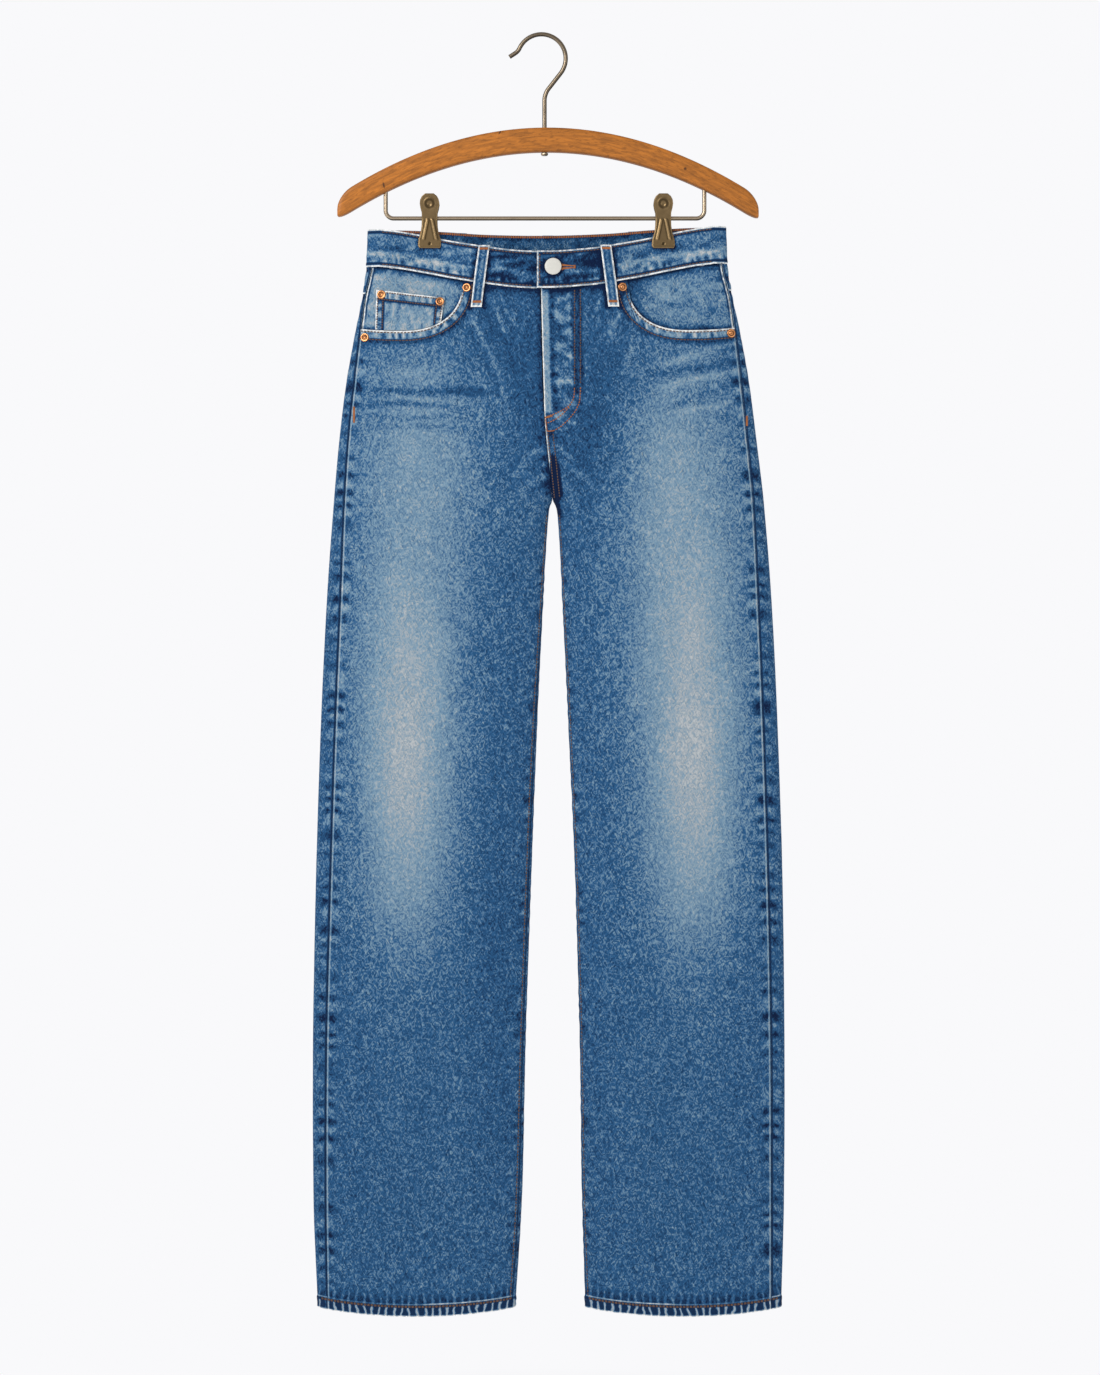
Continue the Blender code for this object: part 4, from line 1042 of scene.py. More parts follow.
def make_waistband():
    """The doubled band, whose ends overlap under the button. Its lower third is drawn into waves
    by the seam."""
    drops = WAISTBAND_HEIGHT * shares_along(WAISTBAND_HEIGHT, 2.2 * MM, 0.8 * MM, 4 * MM)
    columns, lifts = [], []
    for side, layer, where, lift in band_columns():
        if layer:
            z = waist_top(layer, where) - drops
            angle = angle_at(side, layer, z, where)
        else:
            z = waist_top("front", OUTWARD[side] * WAIST_HALF_WIDTH + WAIST_MIDDLE_X) - drops
            angle = np.full(z.shape, where)
        columns.append(cloth_frames(side, z, angle))
        lifts.append(lift)
    grid = grid_of(columns)
    lifts = np.array(lifts)[None]
    x, z = grid.x, grid.z
    in_front = grid.points[..., 1] < 0
    along, from_bottom = grid.from_first, grid.from_bottom
    low = bell(from_bottom - 8 * MM, 6 * MM)
    waves = pucker(along + 0.9 * from_bottom, 17 * MM, 1.0)
    small = pucker(along, 9 * MM, 2.0)
    drawn = cloud(along + 2.2 * from_bottom, from_bottom, 18 * MM, 7 * MM, 2.0)
    height = 0.35 * MM * (waves * low + 0.6 * small * bell(from_bottom - 4 * MM, 4 * MM))
    height += 0.25 * MM * drawn - 0.5 * MM * bell(np.minimum(from_bottom, grid.from_top), 0.7 * MM)
    level = PLAIN_LEVEL + 0.14 + 0.34 * drawn
    level += 0.30 * bell(from_bottom - 14 * MM - 3 * MM * waves, 2.5 * MM)
    level += 0.42 * small * bell(from_bottom - 6 * MM, 4 * MM)
    level -= 0.14 * bell(from_bottom - 20 * MM, 5 * MM) * (1 + waves)
    # Painted shade near the fly, lighter on the crumples
    near_fly = fade(abs(x - 10 * MM), 45 * MM, 75 * MM) * in_front
    level -= near_fly * (0.36 - 0.30 * drawn)
    level -= np.where(in_front, loop_shadow("front", x, z), loop_shadow("back", x, z))
    # Painted shadow round the button
    around_button = np.hypot(x - BUTTON_X - 0.8 * MM, z - BUTTON_Z + 1.2 * MM)
    level -= 0.5 * in_front * fade(around_button, BUTTON_RADIUS, BUTTON_RADIUS + 3.5 * MM)
    bright = 1.2 * nearest(grid.from_top, from_bottom, grid.from_sides)
    # Dark lines beside the stitch rows: painted shade
    dark = nearest(abs(grid.from_top - 3.2 * MM), abs(from_bottom - 3.2 * MM))
    # Painted shadow round the clips' jaws
    for clip in CLIP_XS.values():
        beside = np.maximum(abs(x - clip) - 10.5 * MM, 0)
        beside = np.hypot(beside, np.maximum(CLIP_JAW_Z - z, 0))
        level -= 0.5 * in_front * bell(beside, 2.4 * MM)
    inside = 0.47 + 0.34 * cloud(along, grid.from_top, 11 * MM, 8 * MM, 8.0)
    inside -= 0.30 * bell(grid.from_top - 3 * MM, 3 * MM)
    outer = BAND_PROUD + lifts + height
    return cloth_wall("waistband", grid, outer, lifts - BAND_DEPTH, level, bright, dark, lining=inside)


# Pockets


def sheet_grid(layer, xs, heights_at, shares):
    """Grid lying on the front or back, from the first to the second (x, z) of heights_at."""
    columns = []
    for x in xs:
        (top_x, top_z), (foot_x, foot_z) = heights_at(x)
        columns.append(layer_frames(layer, mix(top_x, foot_x, shares), mix(top_z, foot_z, shares)))
    return grid_of(columns)


FACING_LEVEL = {"right": 0.82, "left": 0.66}


def make_facing(side):
    """The denim that shows inside a front pocket's mouth."""
    z = np.array(-262 * MM)
    seam_x = float(cloth_points(side, z, side_seam(side, z))[0])
    inner_x = POCKET_CORNER[side] - OUTWARD[side] * (FACING_MARGIN - 2.5 * MM)
    count = 46
    shares = np.linspace(0, 1, 40)
    columns = []
    for k in range(count + 1):
        x = mix(inner_x, seam_x, 1 - (1 - k / count) ** 1.3)
        top = waist_seam("front", x) - SEAM_GAP
        bottom = pocket_mouth(side, x, FACING_MARGIN) - 1 * MM
        z = mix(top, bottom, shares)
        seam = side_seam(side, z)
        inside = np.maximum(angle_at(side, "front", z, x), seam + 0.01 + 0.005 * (count - k))
        angle = seam + seam_trim(side, z, seam) if k == count else inside
        columns.append(cloth_frames(side, z, angle))
    grid = grid_of(columns)
    x, z = grid.x, grid.z
    seed = 20 + OUTWARD[side]
    mouth = z - pocket_mouth(side, x)
    crumple = cloud(x, z, 26 * MM, 11 * MM, seed) + 0.5 * cloud(x, z, 9 * MM, 7 * MM, seed + 1)
    # Painted shade inside the mouth's edge, under the waistband, towards the side seam and near the mouth's
    # corner
    level = FACING_LEVEL[side] + 0.18 * crumple - 0.55 * bell(mouth, 4 * MM)
    level -= 0.42 * bell(grid.from_top, 4.5 * MM)
    level -= 0.12 * bell(grid.from_last, 6 * MM)
    steep = OUTWARD[side] * (x - POCKET_CORNER[side])
    level -= 0.24 * bell(steep - 6 * MM, 14 * MM)
    out_height, out_level = railroad(grid.from_last, z, jeans_settings(), OUTWARD[side])
    height = 0.3 * MM * crumple * (1 - bell(mouth, 6 * MM)) + 0.3 * out_height
    depth = DENIM + FACING_GAP
    outer = np.clip(height, -0.3 * MM, 0.3 * MM) - depth
    level += 0.5 * out_level
    dark = nearest(abs(grid.from_last - 2.2 * MM), grid.from_top)
    name = side + "_pocket_facing"
    return cloth_wall(name, grid, outer, -depth - POCKET_CLOTH, level, grid.from_last, dark)


COIN_POCKET_TOP = ((-165 * MM, -254 * MM), (-96.5 * MM, -262 * MM))
COIN_POCKET_HEM = 9 * MM
SIDE_ROWS = (1.8 * MM, 7.2 * MM)


def coin_pocket_heights(x):
    (left_x, left_top), (right_x, right_top) = COIN_POCKET_TOP
    share = (x - left_x) / (right_x - left_x)
    foot_x = mix(left_x - 1 * MM, right_x - 3.5 * MM, share)
    foot_z = pocket_mouth("right", foot_x) + 2 * SEAM_GAP
    return (x, mix(left_top, right_top, share)), (foot_x, foot_z)


def make_coin_pocket():
    (left_x, _), (right_x, _) = COIN_POCKET_TOP
    xs = crowded(left_x, right_x, 2.2 * MM, 0.8 * MM, (left_x, right_x), 5 * MM)
    shares = crowded(0, 45 * MM, 1.8 * MM, 0.8 * MM, (0,), 5 * MM) / (45 * MM)
    grid = sheet_grid("front", xs, coin_pocket_heights, shares)
    x, z = grid.x, grid.z
    sides = grid.from_sides
    top_band = within(grid.from_top, COIN_POCKET_HEM)
    side_band = fade(sides, 7 * MM, 8 * MM)
    waves = pucker(x, 8 * MM, 3.0) * top_band + pucker(z, 7 * MM, 4.0) * side_band
    creased = cloud(x, z, 5 * MM, 13 * MM, 30.0)
    height = 0.18 * MM * waves + 0.22 * MM * top_band + 0.15 * MM * side_band
    height += 0.3 * MM * creased * (1 - top_band) * (1 - side_band)
    level = 0.76 + 0.30 * waves + 0.26 * creased * (1 - top_band) - 0.10 * side_band
    # Painted shadow below the raised hem band
    level -= 0.34 * bell(grid.from_top - COIN_POCKET_HEM - 1.5 * MM, 1.8 * MM)
    height -= 0.3 * MM * bell(np.minimum(sides, grid.from_top), 0.6 * MM)
    height = np.clip(height, -0.3 * MM, 0.6 * MM)
    bright = nearest(sides, grid.from_top)
    dark = nearest(abs(sides - 7.6 * MM), abs(grid.from_top - COIN_POCKET_HEM - 0.4 * MM))
    outer, inner = height - COIN_POCKET_SUNK, -COIN_POCKET_SUNK - COIN_POCKET_CLOTH
    return cloth_wall("coin_pocket", grid, outer, inner, level, bright, dark)


BACK_POCKET_WIDTH = 132 * MM
BACK_POCKET_HEIGHT = 128 * MM
BACK_POCKET_POINT = 20 * MM
BACK_POCKET_TOP_Z = -312 * MM
BACK_POCKET_HEM = 15 * MM


def back_pocket_heights(side, u):
    """Top and foot of a back pocket at share u of its width, from the centre outwards."""
    inner_x = float(read(CENTRES, "back", np.array(-330 * MM))) + OUTWARD[side] * 32 * MM
    x = inner_x + OUTWARD[side] * BACK_POCKET_WIDTH * u
    foot_x = inner_x + OUTWARD[side] * BACK_POCKET_WIDTH * mix(0.04, 0.98, u)
    foot = BACK_POCKET_TOP_Z - BACK_POCKET_HEIGHT - BACK_POCKET_POINT * (1 - abs(2 * u - 1))
    return (x, BACK_POCKET_TOP_Z + 5 * MM * u), (foot_x, foot + 5 * MM * u)


def make_back_pocket(side):
    places = (0, BACK_POCKET_WIDTH / 2, BACK_POCKET_WIDTH)
    us = crowded(0, BACK_POCKET_WIDTH, 2.6 * MM, 1 * MM, places, 6 * MM) / BACK_POCKET_WIDTH
    shares = shares_along(140 * MM, 2.4 * MM, 1 * MM, 6 * MM)
    grid = sheet_grid("back", us, lambda u: back_pocket_heights(side, u), shares)
    x, z = grid.x, grid.z
    seed = 40 + OUTWARD[side]
    rim = nearest(grid.from_sides, grid.from_bottom)
    hem = within(grid.from_top, BACK_POCKET_HEM)
    waves = pucker(x, 11 * MM, seed) * hem * bell(grid.from_top - 9 * MM, 6 * MM)
    edge_waves = pucker(grid.from_top + x, 9 * MM, seed + 1) * bell(rim - 4 * MM, 4 * MM)
    worn = cloud(x, z, 26 * MM, 34 * MM, seed + 2)
    height = 0.45 * MM * hem + 0.3 * MM * (waves + edge_waves) + 0.4 * MM * (worn + 0.6)
    level = 0.58 + 0.10 * waves + 0.12 * edge_waves + 0.09 * worn - 0.05 * bell(rim - 9 * MM, 3 * MM)
    # Painted shadow below the raised hem band
    level -= 0.12 * bell(grid.from_top - BACK_POCKET_HEM - 1.5 * MM, 1.6 * MM)
    edge = np.minimum(rim, grid.from_top)
    height -= 0.4 * MM * bell(edge, 0.7 * MM)
    outer = LAYER_GAP + POCKET_CLOTH + np.clip(height, -0.4 * MM, 2 * MM)
    dark = abs(edge - 2.2 * MM)
    return cloth_wall(side + "_back_pocket", grid, outer, LAYER_GAP, level, edge, dark)


# Belt loops

LOOP_SHARES = (0.0, 0.12, 0.35, 0.58, 0.68, 0.86, 1.0)
LOOP_LIFTS = (1.1, 1.2, 2.4, 2.1, 1.5, 0.6, 0.5)


def make_belt_loop(loop):
    """A folded strip, stitched down at its head and foot, with worn white edges."""
    shares = shares_along(LOOP_LENGTH, 1.6 * MM, 0.8 * MM, 5 * MM)
    lifts = np.interp(shares, LOOP_SHARES, LOOP_LIFTS)[:, None] * MM
    across = np.linspace(-0.5, 0.5, 13)[None]
    z = waist_top(loop.layer, loop.head_x) + 0.6 * MM - LOOP_LENGTH * shares[:, None]
    x = mix(loop.head_x, loop.foot_x, shares[:, None]) + across * LOOP_WIDTH
    grid = as_grid(*layer_frames(loop.layer, x, z + 0 * x))
    sides, from_foot = grid.from_sides, grid.from_bottom
    ends = nearest(grid.from_top, from_foot)
    rounding = -0.7 * MM * bell(sides, 0.9 * MM) - 0.4 * MM * bell(ends, 0.9 * MM)
    groove = -0.25 * MM * bell(abs(sides - 3.3 * MM), 0.6 * MM)
    level = 0.60 + 0.10 * cloud(x, z + 0 * x, 3 * MM, 12 * MM, 50.0)
    level += 0.32 * fade(from_foot, 4 * MM, 5 * MM) - 0.34 * bell(abs(sides - 3.0 * MM), 0.8 * MM)
    outer = lifts + LOOP_THICKNESS + rounding + groove
    bright = nearest(sides, ends) + 0.3 * MM
    return cloth_wall(loop.name, grid, outer, lifts, level, bright, NOWHERE * MM)


# Sewing: each stitch is a short thread laid on the cloth that a ray finds


class Cloth:
    """The made pieces, ready to be found by rays."""

    def __init__(self, names):
        graph = bpy.context.evaluated_depsgraph_get()
        self.trees = [BVHTree.FromObject(bpy.data.objects[name], graph) for name in names]

    def lay(self, xs, zs, start_y, heading):
        """(points, normals) where rays along Y from start_y first meet the cloth."""
        points, normals = [], []
        for x, z in zip(np.asarray(xs).tolist(), np.asarray(zs).tolist()):
            origin = Vector((x, start_y, z))
            hits = [tree.ray_cast(origin, Vector((0, heading, 0))) for tree in self.trees]
            hits = [hit for hit in hits if hit[0] is not None]
            if not hits:
                continue
            place, normal, _, _ = min(hits, key=lambda hit: hit[3])
            points.append(place)
            normals.append(normal if normal.y * heading < 0 else -normal)
        return np.array(points), np.array(normals)

    def front(self, xs, zs):
        return self.lay(xs, zs, -0.1, 1)

    def back(self, xs, zs):
        return self.lay(xs, zs, 0.1, -1)

    def inside_back(self, xs, zs):
        return self.lay(xs, zs, 0.0, 1)


STITCH_SIDES = 5
STITCH_SHARES = np.array([0.0, 0.2, 0.8, 1.0])
STITCH_RADII = np.array([0.5, 1.0, 1.0, 0.5])
STITCH_LIFTS = np.array([-0.25, 0.45, 0.45, -0.25])


class Threads:
    """Stitches gathered into one mesh."""

    def __init__(self, radius):
        self.radius = radius
        self.points = []

    def add(self, starts, ends, normals):
        run = ends - starts
        length = np.linalg.norm(run, axis=1, keepdims=True)
        run = run / np.maximum(length, 1e-9)
        across = np.cross(run, normals)
        across /= np.linalg.norm(across, axis=1, keepdims=True)
        turns = full_turn(STITCH_SIDES)
        middle = mix(starts[:, None], ends[:, None], STITCH_SHARES[None, :, None])
        middle += normals[:, None] * (STITCH_LIFTS * self.radius)[None, :, None]
        ring = np.cos(turns)[:, None] * across[:, None, None]
        ring = ring + np.sin(turns)[:, None] * 0.8 * normals[:, None, None]
        size = (STITCH_RADII * self.radius)[None, :, None, None]
        self.points.append((middle[:, :, None] + ring * size).reshape(-1, 3))

    def row(self, points, normals, pitch, gap=0.75 * MM):
        """Stitches end to end along a path."""
        length = runs(points[None], 1)[0]
        count = int(length[-1] // pitch)
        if count < 1:
            return
        starts = (length[-1] - count * pitch) / 2 + pitch * np.arange(count)
        both = [
            np.stack([np.interp(at, length, points[:, k]) for k in range(3)], axis=1)
            for at in (starts + gap / 2, starts + pitch - gap / 2)
        ]
        middles = starts + pitch / 2
        facing = np.stack([np.interp(middles, length, normals[:, k]) for k in range(3)], axis=1)
        facing /= np.linalg.norm(facing, axis=1, keepdims=True)
        self.add(both[0], both[1], facing)

    def bar(self, lay, start, end, width):
        """A bartack: close stitches across the line from start to end, both (x, z)."""
        start, end = np.array(start), np.array(end)
        run = end - start
        length = np.linalg.norm(run)
        count = max(3, round(length / (1.5 * self.radius)))
        across = np.array([-run[1], run[0]]) / length * width / 2
        middles = start + run * ((np.arange(count) + 0.5) / count)[:, None]
        heads, normals = lay(*(middles + across).T)
        feet, _ = lay(*(middles - across).T)
        if len(heads) == len(feet) == count:
            self.add(heads, feet, normals)

    def make(self, name, material, slot):
        points = np.concatenate(self.points)
        size = len(STITCH_SHARES) * STITCH_SIDES
        count = len(points) // size
        ring = np.arange(STITCH_SIDES)
        faces = []
        after = (ring + 1) % STITCH_SIDES
        for low in range(0, size - STITCH_SIDES, STITCH_SIDES):
            high = low + STITCH_SIDES
            faces.append(np.stack([low + ring, low + after, high + after, high + ring], 1))
        quads = np.concatenate(faces)
        offsets = (np.arange(count) * size)[:, None, None]
        polygons = (quads[None] + offsets).reshape(-1, 4).tolist()
        for cap in (ring[::-1], ring + size - STITCH_SIDES):
            polygons += (cap[None, None] + offsets).reshape(-1, STITCH_SIDES).tolist()
        return belongs(link_mesh(name, points, polygons, material, sharp_degrees=80), slot)


def spread(points, pitch=1.5 * MM, smooth=0):
    """A dense line through (x, z) points, rounded at its corners if asked."""
    line = np.array(points, float)
    length = runs(np.c_[line, np.zeros(len(line))][None], 1)[0]
    at = np.linspace(0, length[-1], max(8, int(length[-1] / pitch)))
    xs, zs = (np.interp(at, length, line[:, k]) for k in range(2))
    for _ in range(smooth):
        for values in (xs, zs):
            values[1:-1] = (values[:-2] + 2 * values[1:-1] + values[2:]) / 4
    return xs, zs


def offset_line(xs, zs, distance):
    """The line moved sideways, to the left of its direction."""
    run_x, run_z = np.gradient(xs), np.gradient(zs)
    length = np.hypot(run_x, run_z)
    return xs - run_z / length * distance, zs + run_x / length * distance


def mouth_line(side, inset):
    """A line beside the pocket's mouth, from its corner to the side seam."""
    corner = POCKET_CORNER[side]
    z = np.array(-300 * MM)
    end = float(cloth_points(side, z, side_seam(side, z))[0])
    share = np.linspace(0.0, 1, 240) ** 2.2
    xs = mix(corner + OUTWARD[side] * 0.02 * MM, end, share)
    zs = pocket_mouth(side, xs)
    xs, zs = spread(np.stack([xs, zs], axis=1), 0.8 * MM)
    xs, zs = offset_line(xs, zs, OUTWARD[side] * -inset)
    keep = zs < waist_seam("front", xs) - 1.5 * MM
    return xs[keep], zs[keep]


# The fly's double row bends into a J whose two ends meet the centre seam
FLY_LINES = (
    ((33, -254), (33, -352), (32.5, -362), (29, -369.5), (24, -373.5), (14, -378.5), (4, -382)),
    ((38.8, -253), (38.8, -356), (38, -367), (34, -376), (27, -384.5), (18, -392.5), (10, -396.5)),
    ((28, -371.5), (20, -380), (12, -385.5), (5.5, -388)),
)
# The bartack at the rows' ends, and the foot and side of the box that they close
FLY_TACKS = (
    ((3.6, -382.6), (11, -380.6), 1.9),
    ((5.6, -396), (11.5, -395.6), 1.2),
    ((4.2, -384), (5.6, -396), 1.1),
)


def sew_fronts(rows, tacks, cloth, pitch):
    for side in SIDES:
        for inset in (2.0 * MM, MOUTH_BAND):
            rows.row(*cloth.front(*mouth_line(side, inset)), pitch)
        # Hem row
        fold = float(read(SECTIONS, side + "_fold", np.array(HEM_Z)))
        inner = float(read(INSEAMS, side + "_inner", np.array(HEM_Z)))
        xs = np.linspace(fold - OUTWARD[side] * 3 * MM, inner + OUTWARD[side] * 3 * MM, 160)
        level = np.full(xs.shape, HEM_Z)
        edge = hem_edge(side, level, xs, np.full(xs.shape, FRONT_ANGLE))
        for drop in (0.2 * MM, 1.1 * MM):
            rows.row(*cloth.front(xs, edge + HEM_HEIGHT - drop), pitch)
        back_edge = hem_edge(side, level, xs, np.full(xs.shape, BACK_ANGLE))
        rows.row(*cloth.back(xs, back_edge + HEM_HEIGHT - 0.6 * MM), pitch)
        # Inseam row, just inside the seam
        zs = np.linspace(-478 * MM, HEM_Z + HEM_HEIGHT, 420)
        inner = read(INSEAMS, side + "_inner", zs)
        inset = read(INSEAMS, side + "_inset", zs)
        xs = inner + OUTWARD[side] * (inset + 1.9 * MM)
        rows.row(*cloth.front(xs, zs), pitch)
    for line in FLY_LINES:
        xs, zs = spread(np.array(line) * MM, 1.2 * MM, 4)
        bent = zs < -350 * MM
        if not bent.all():
            rows.row(*cloth.front(xs[~bent], zs[~bent]), 2.8 * MM)
        tacks.row(*cloth.front(xs[bent], zs[bent]), 2.8 * MM)
    # Centre seam from the fly to the crotch
    zs = np.linspace(-397 * MM, -462 * MM, 50)
    for inset in TWIN_ROWS:
        rows.row(*cloth.front(read(CENTRES, "front", zs) + inset, zs), 2.8 * MM)
    for start, end, width in FLY_TACKS:
        tacks.bar(cloth.front, np.array(start) * MM, np.array(end) * MM, width * MM)


def sew_coin_pocket(rows, cloth):
    (left_x, _), (right_x, _) = COIN_POCKET_TOP
    xs = np.linspace(left_x + 2 * MM, right_x - 2 * MM, 60)
    tops = np.array([coin_pocket_heights(x)[0][1] for x in xs])
    for inset in (1.9 * MM, COIN_POCKET_HEM):
        rows.row(*cloth.front(xs, tops - inset), 2.6 * MM)
    for edge, direction in ((left_x, 1), (right_x, -1)):
        for inset in SIDE_ROWS:
            (top_x, top_z), (foot_x, foot_z) = coin_pocket_heights(edge + direction * inset)
            line = spread(((top_x, top_z - 2 * MM), (foot_x, foot_z + 1 * MM)))
            rows.row(*cloth.front(*line), 2.6 * MM)


def sew_backs(rows, tacks, cloth, pitch):
    xs = np.linspace(-168 * MM, 180 * MM, 240)
    for rise in TWIN_ROWS:
        rows.row(*cloth.back(xs, yoke_seam(xs) + rise), pitch)
    zs = np.linspace(-325 * MM, -458 * MM, 90)
    for inset in TWIN_ROWS:
        rows.row(*cloth.back(read(CENTRES, "back", zs) + inset, zs), pitch)
    for side in SIDES:
        us = np.linspace(0.02, 0.98, 60)
        heights = [back_pocket_heights(side, u) for u in us]
        tops = np.array([top for top, _ in heights])
        for drop in (2.0 * MM, BACK_POCKET_HEM):
            rows.row(*cloth.back(tops[:, 0], tops[:, 1] - drop), pitch)
        for inset in (2.0 * MM, 7.6 * MM):
            share = inset / BACK_POCKET_WIDTH
            inner_top, inner_foot = back_pocket_heights(side, share)
            outer_top, outer_foot = back_pocket_heights(side, 1 - share)
            _, point = back_pocket_heights(side, 0.5)
            rise = inset * 1.05
            line = (
                (inner_top[0], inner_top[1] - 1.5 * MM),
                (inner_foot[0], inner_foot[1] + rise),
                (point[0], point[1] + rise),
                (outer_foot[0], outer_foot[1] + rise),
                (outer_top[0], outer_top[1] - 1.5 * MM),
            )
            rows.row(*cloth.back(*spread(line, 1.5 * MM)), pitch)
        for share in (0.035, 0.965):
            (x, z), _ = back_pocket_heights(side, share)
            tacks.bar(cloth.back, (x, z - 1 * MM), (x, z - 9 * MM), 1.8 * MM)


def sew_waistband(rows, tacks, cloth, pitch):
    band = Cloth(["waistband_denim"])
    for layer, lay, start, end in (
        ("front", band.front, -160 * MM, -9 * MM),
        ("front", band.front, 0 * MM, 171 * MM),
        ("back", band.back, -160 * MM, 171 * MM),
    ):
        xs = np.linspace(start, end, 200)
        for drop in (2.6 * MM, WAISTBAND_HEIGHT - 2.6 * MM):
            rows.row(*lay(xs, waist_top(layer, xs) - drop), pitch)
    zs = np.linspace(-218.5 * MM, -249 * MM, 30)
    rows.row(*cloth.front(np.full(zs.shape, OVERLAP_END_X + 2.8 * MM), zs), pitch)
    # The thread along the top edge that shows inside the back
    xs = np.linspace(-152 * MM, 163 * MM, 300)
    for drop in (0.9 * MM, 2.0 * MM):
        tacks.row(*cloth.inside_back(xs, waist_top("back", xs) - drop), 2.3 * MM, 0.2 * MM)


def sew_loops(tacks, cloth):
    for loop in LOOPS:
        lay = cloth.front if loop.layer == "front" else cloth.back
        top = waist_top(loop.layer, loop.head_x) + 0.6 * MM
        for drop in (3.4 * MM, 56.6 * MM):
            x = mix(loop.head_x, loop.foot_x, drop / LOOP_LENGTH)
            tacks.bar(lay, (x - 4.2 * MM, top - drop), (x + 4.2 * MM, top - drop), 2.6 * MM)


def sew_buttonhole(tacks, cloth):
    """The keyhole's close stitches, tapering to its bartack."""
    for k in range(22):
        x = mix(BUTTON_X + 8.6 * MM, BUTTONHOLE_END_X, k / 21)
        half = mix(3.2 * MM, 1.3 * MM, (k / 21) ** 0.7)
        for edge in (-1, 1):
            ends = np.array([[x, BUTTON_Z + edge * 0.5 * MM], [x + 0.2 * MM, BUTTON_Z + edge * half]])
            points, normals = cloth.front(*ends.T)
            if len(points) == 2:
                tacks.add(points[:1], points[1:], normals[:1])
    x = BUTTONHOLE_END_X + 0.5 * MM
    tacks.bar(cloth.front, (x, BUTTON_Z + 1.6 * MM), (x, BUTTON_Z - 1.6 * MM), 2.2 * MM)


def sew_side_tacks(tacks, cloth):
    """Bartacks across the outseams at the ends of their inner stitching."""
    for x, high, low in ((-187 * MM, -371 * MM, -387 * MM), (205 * MM, -380 * MM, -390 * MM)):
        tacks.bar(cloth.front, (x, high), (x, low), 2.2 * MM)


# Hardware

Turning = namedtuple("Turning", "radius height pit", defaults=(0,))


def turn(name, profile, segments, material, place, normal):
    """A solid of revolution about its normal. The profile runs from the middle of its foot, over
    its rim, to the middle of its head."""
    turns = full_turn(segments)
    points, faces, starts = [], [], []
    for spot in profile:
        starts.append(len(points))
        if spot.radius == 0:
            points.append((0, 0, spot.height))
            continue
        points += [(spot.radius * math.cos(a), spot.radius * math.sin(a), spot.height) for a in turns]
    for (low, here), (high, there) in zip(zip(starts, profile), zip(starts[1:], profile[1:])):
        for k in range(segments):
            after = (k + 1) % segments
            if here.radius == 0:
                faces.append([low, high + after, high + k])
            elif there.radius == 0:
                faces.append([low + k, low + after, high])
            else:
                faces.append([low + k, low + after, high + after, high + k])
    pits = [spot.pit for spot in profile for _ in range(segments if spot.radius else 1)]
    made = link_mesh(name, np.array(points), faces, material, {"pit": pits}, 40)
    made.rotation_euler = Vector(normal).to_track_quat("Z", "Y").to_euler()
    made.location = place
    return made


def turned_profile(shares, scale):
    return [Turning(radius * scale, height * MM, *pit) for radius, height, *pit in shares]


# Radius as a share of the piece's, height in millimetres, and how dark it is there: in its ring's hollow,
# and as painted shade round its rim
RIVET_PROFILE = (
    *((0, -0.6), (0.9, -0.6), (1.0, -0.1, 1), (1.0, 0.5, 0.9), (0.94, 0.95, 0.4), (0.82, 1.15)),
    *((0.7, 1.1, 0.1), (0.6, 0.85, 0.9), (0.5, 0.8, 1), (0.42, 1.2, 0.3), (0.3, 1.45)),
    *((0.18, 1.25, 0.3), (0, 1.0, 0.6)),
)
BUTTON_PROFILE = (
    *((0, -0.6), (0.38, -0.6), (0.38, 1.0), (0.84, 1.1), (0.95, 1.4), (1.0, 1.9), (0.99, 2.4)),
    *((0.94, 2.8), (0.86, 3.0), (0.6, 3.2), (0.3, 3.35), (0, 3.4)),
)
RIVETS = rows_of(
    "name x z sunk",
    ("right_mouth_top_rivet", -74.5, -252.3, 0.0),
    ("right_mouth_side_rivet", -176.3, -301.8, 0.0),
    ("left_mouth_top_rivet", 80.7, -251.7, 0.0),
    ("left_mouth_side_rivet", 189.1, -297.5, 0.0),
    ("coin_pocket_right_rivet", -159.8, -259.0, COIN_POCKET_SUNK),
    ("coin_pocket_left_rivet", -101.3, -266.0, COIN_POCKET_SUNK),
)


def front_place(x, z, offset):
    points, normals = layer_frames("front", np.array(x), np.array(z))
    return Vector(points + normals * offset), Vector(normals)


# Hanger


def bar_top(x):
    return BAR_TOP_Z - BAR_ARCH * (x - BAR_MIDDLE_X) ** 2


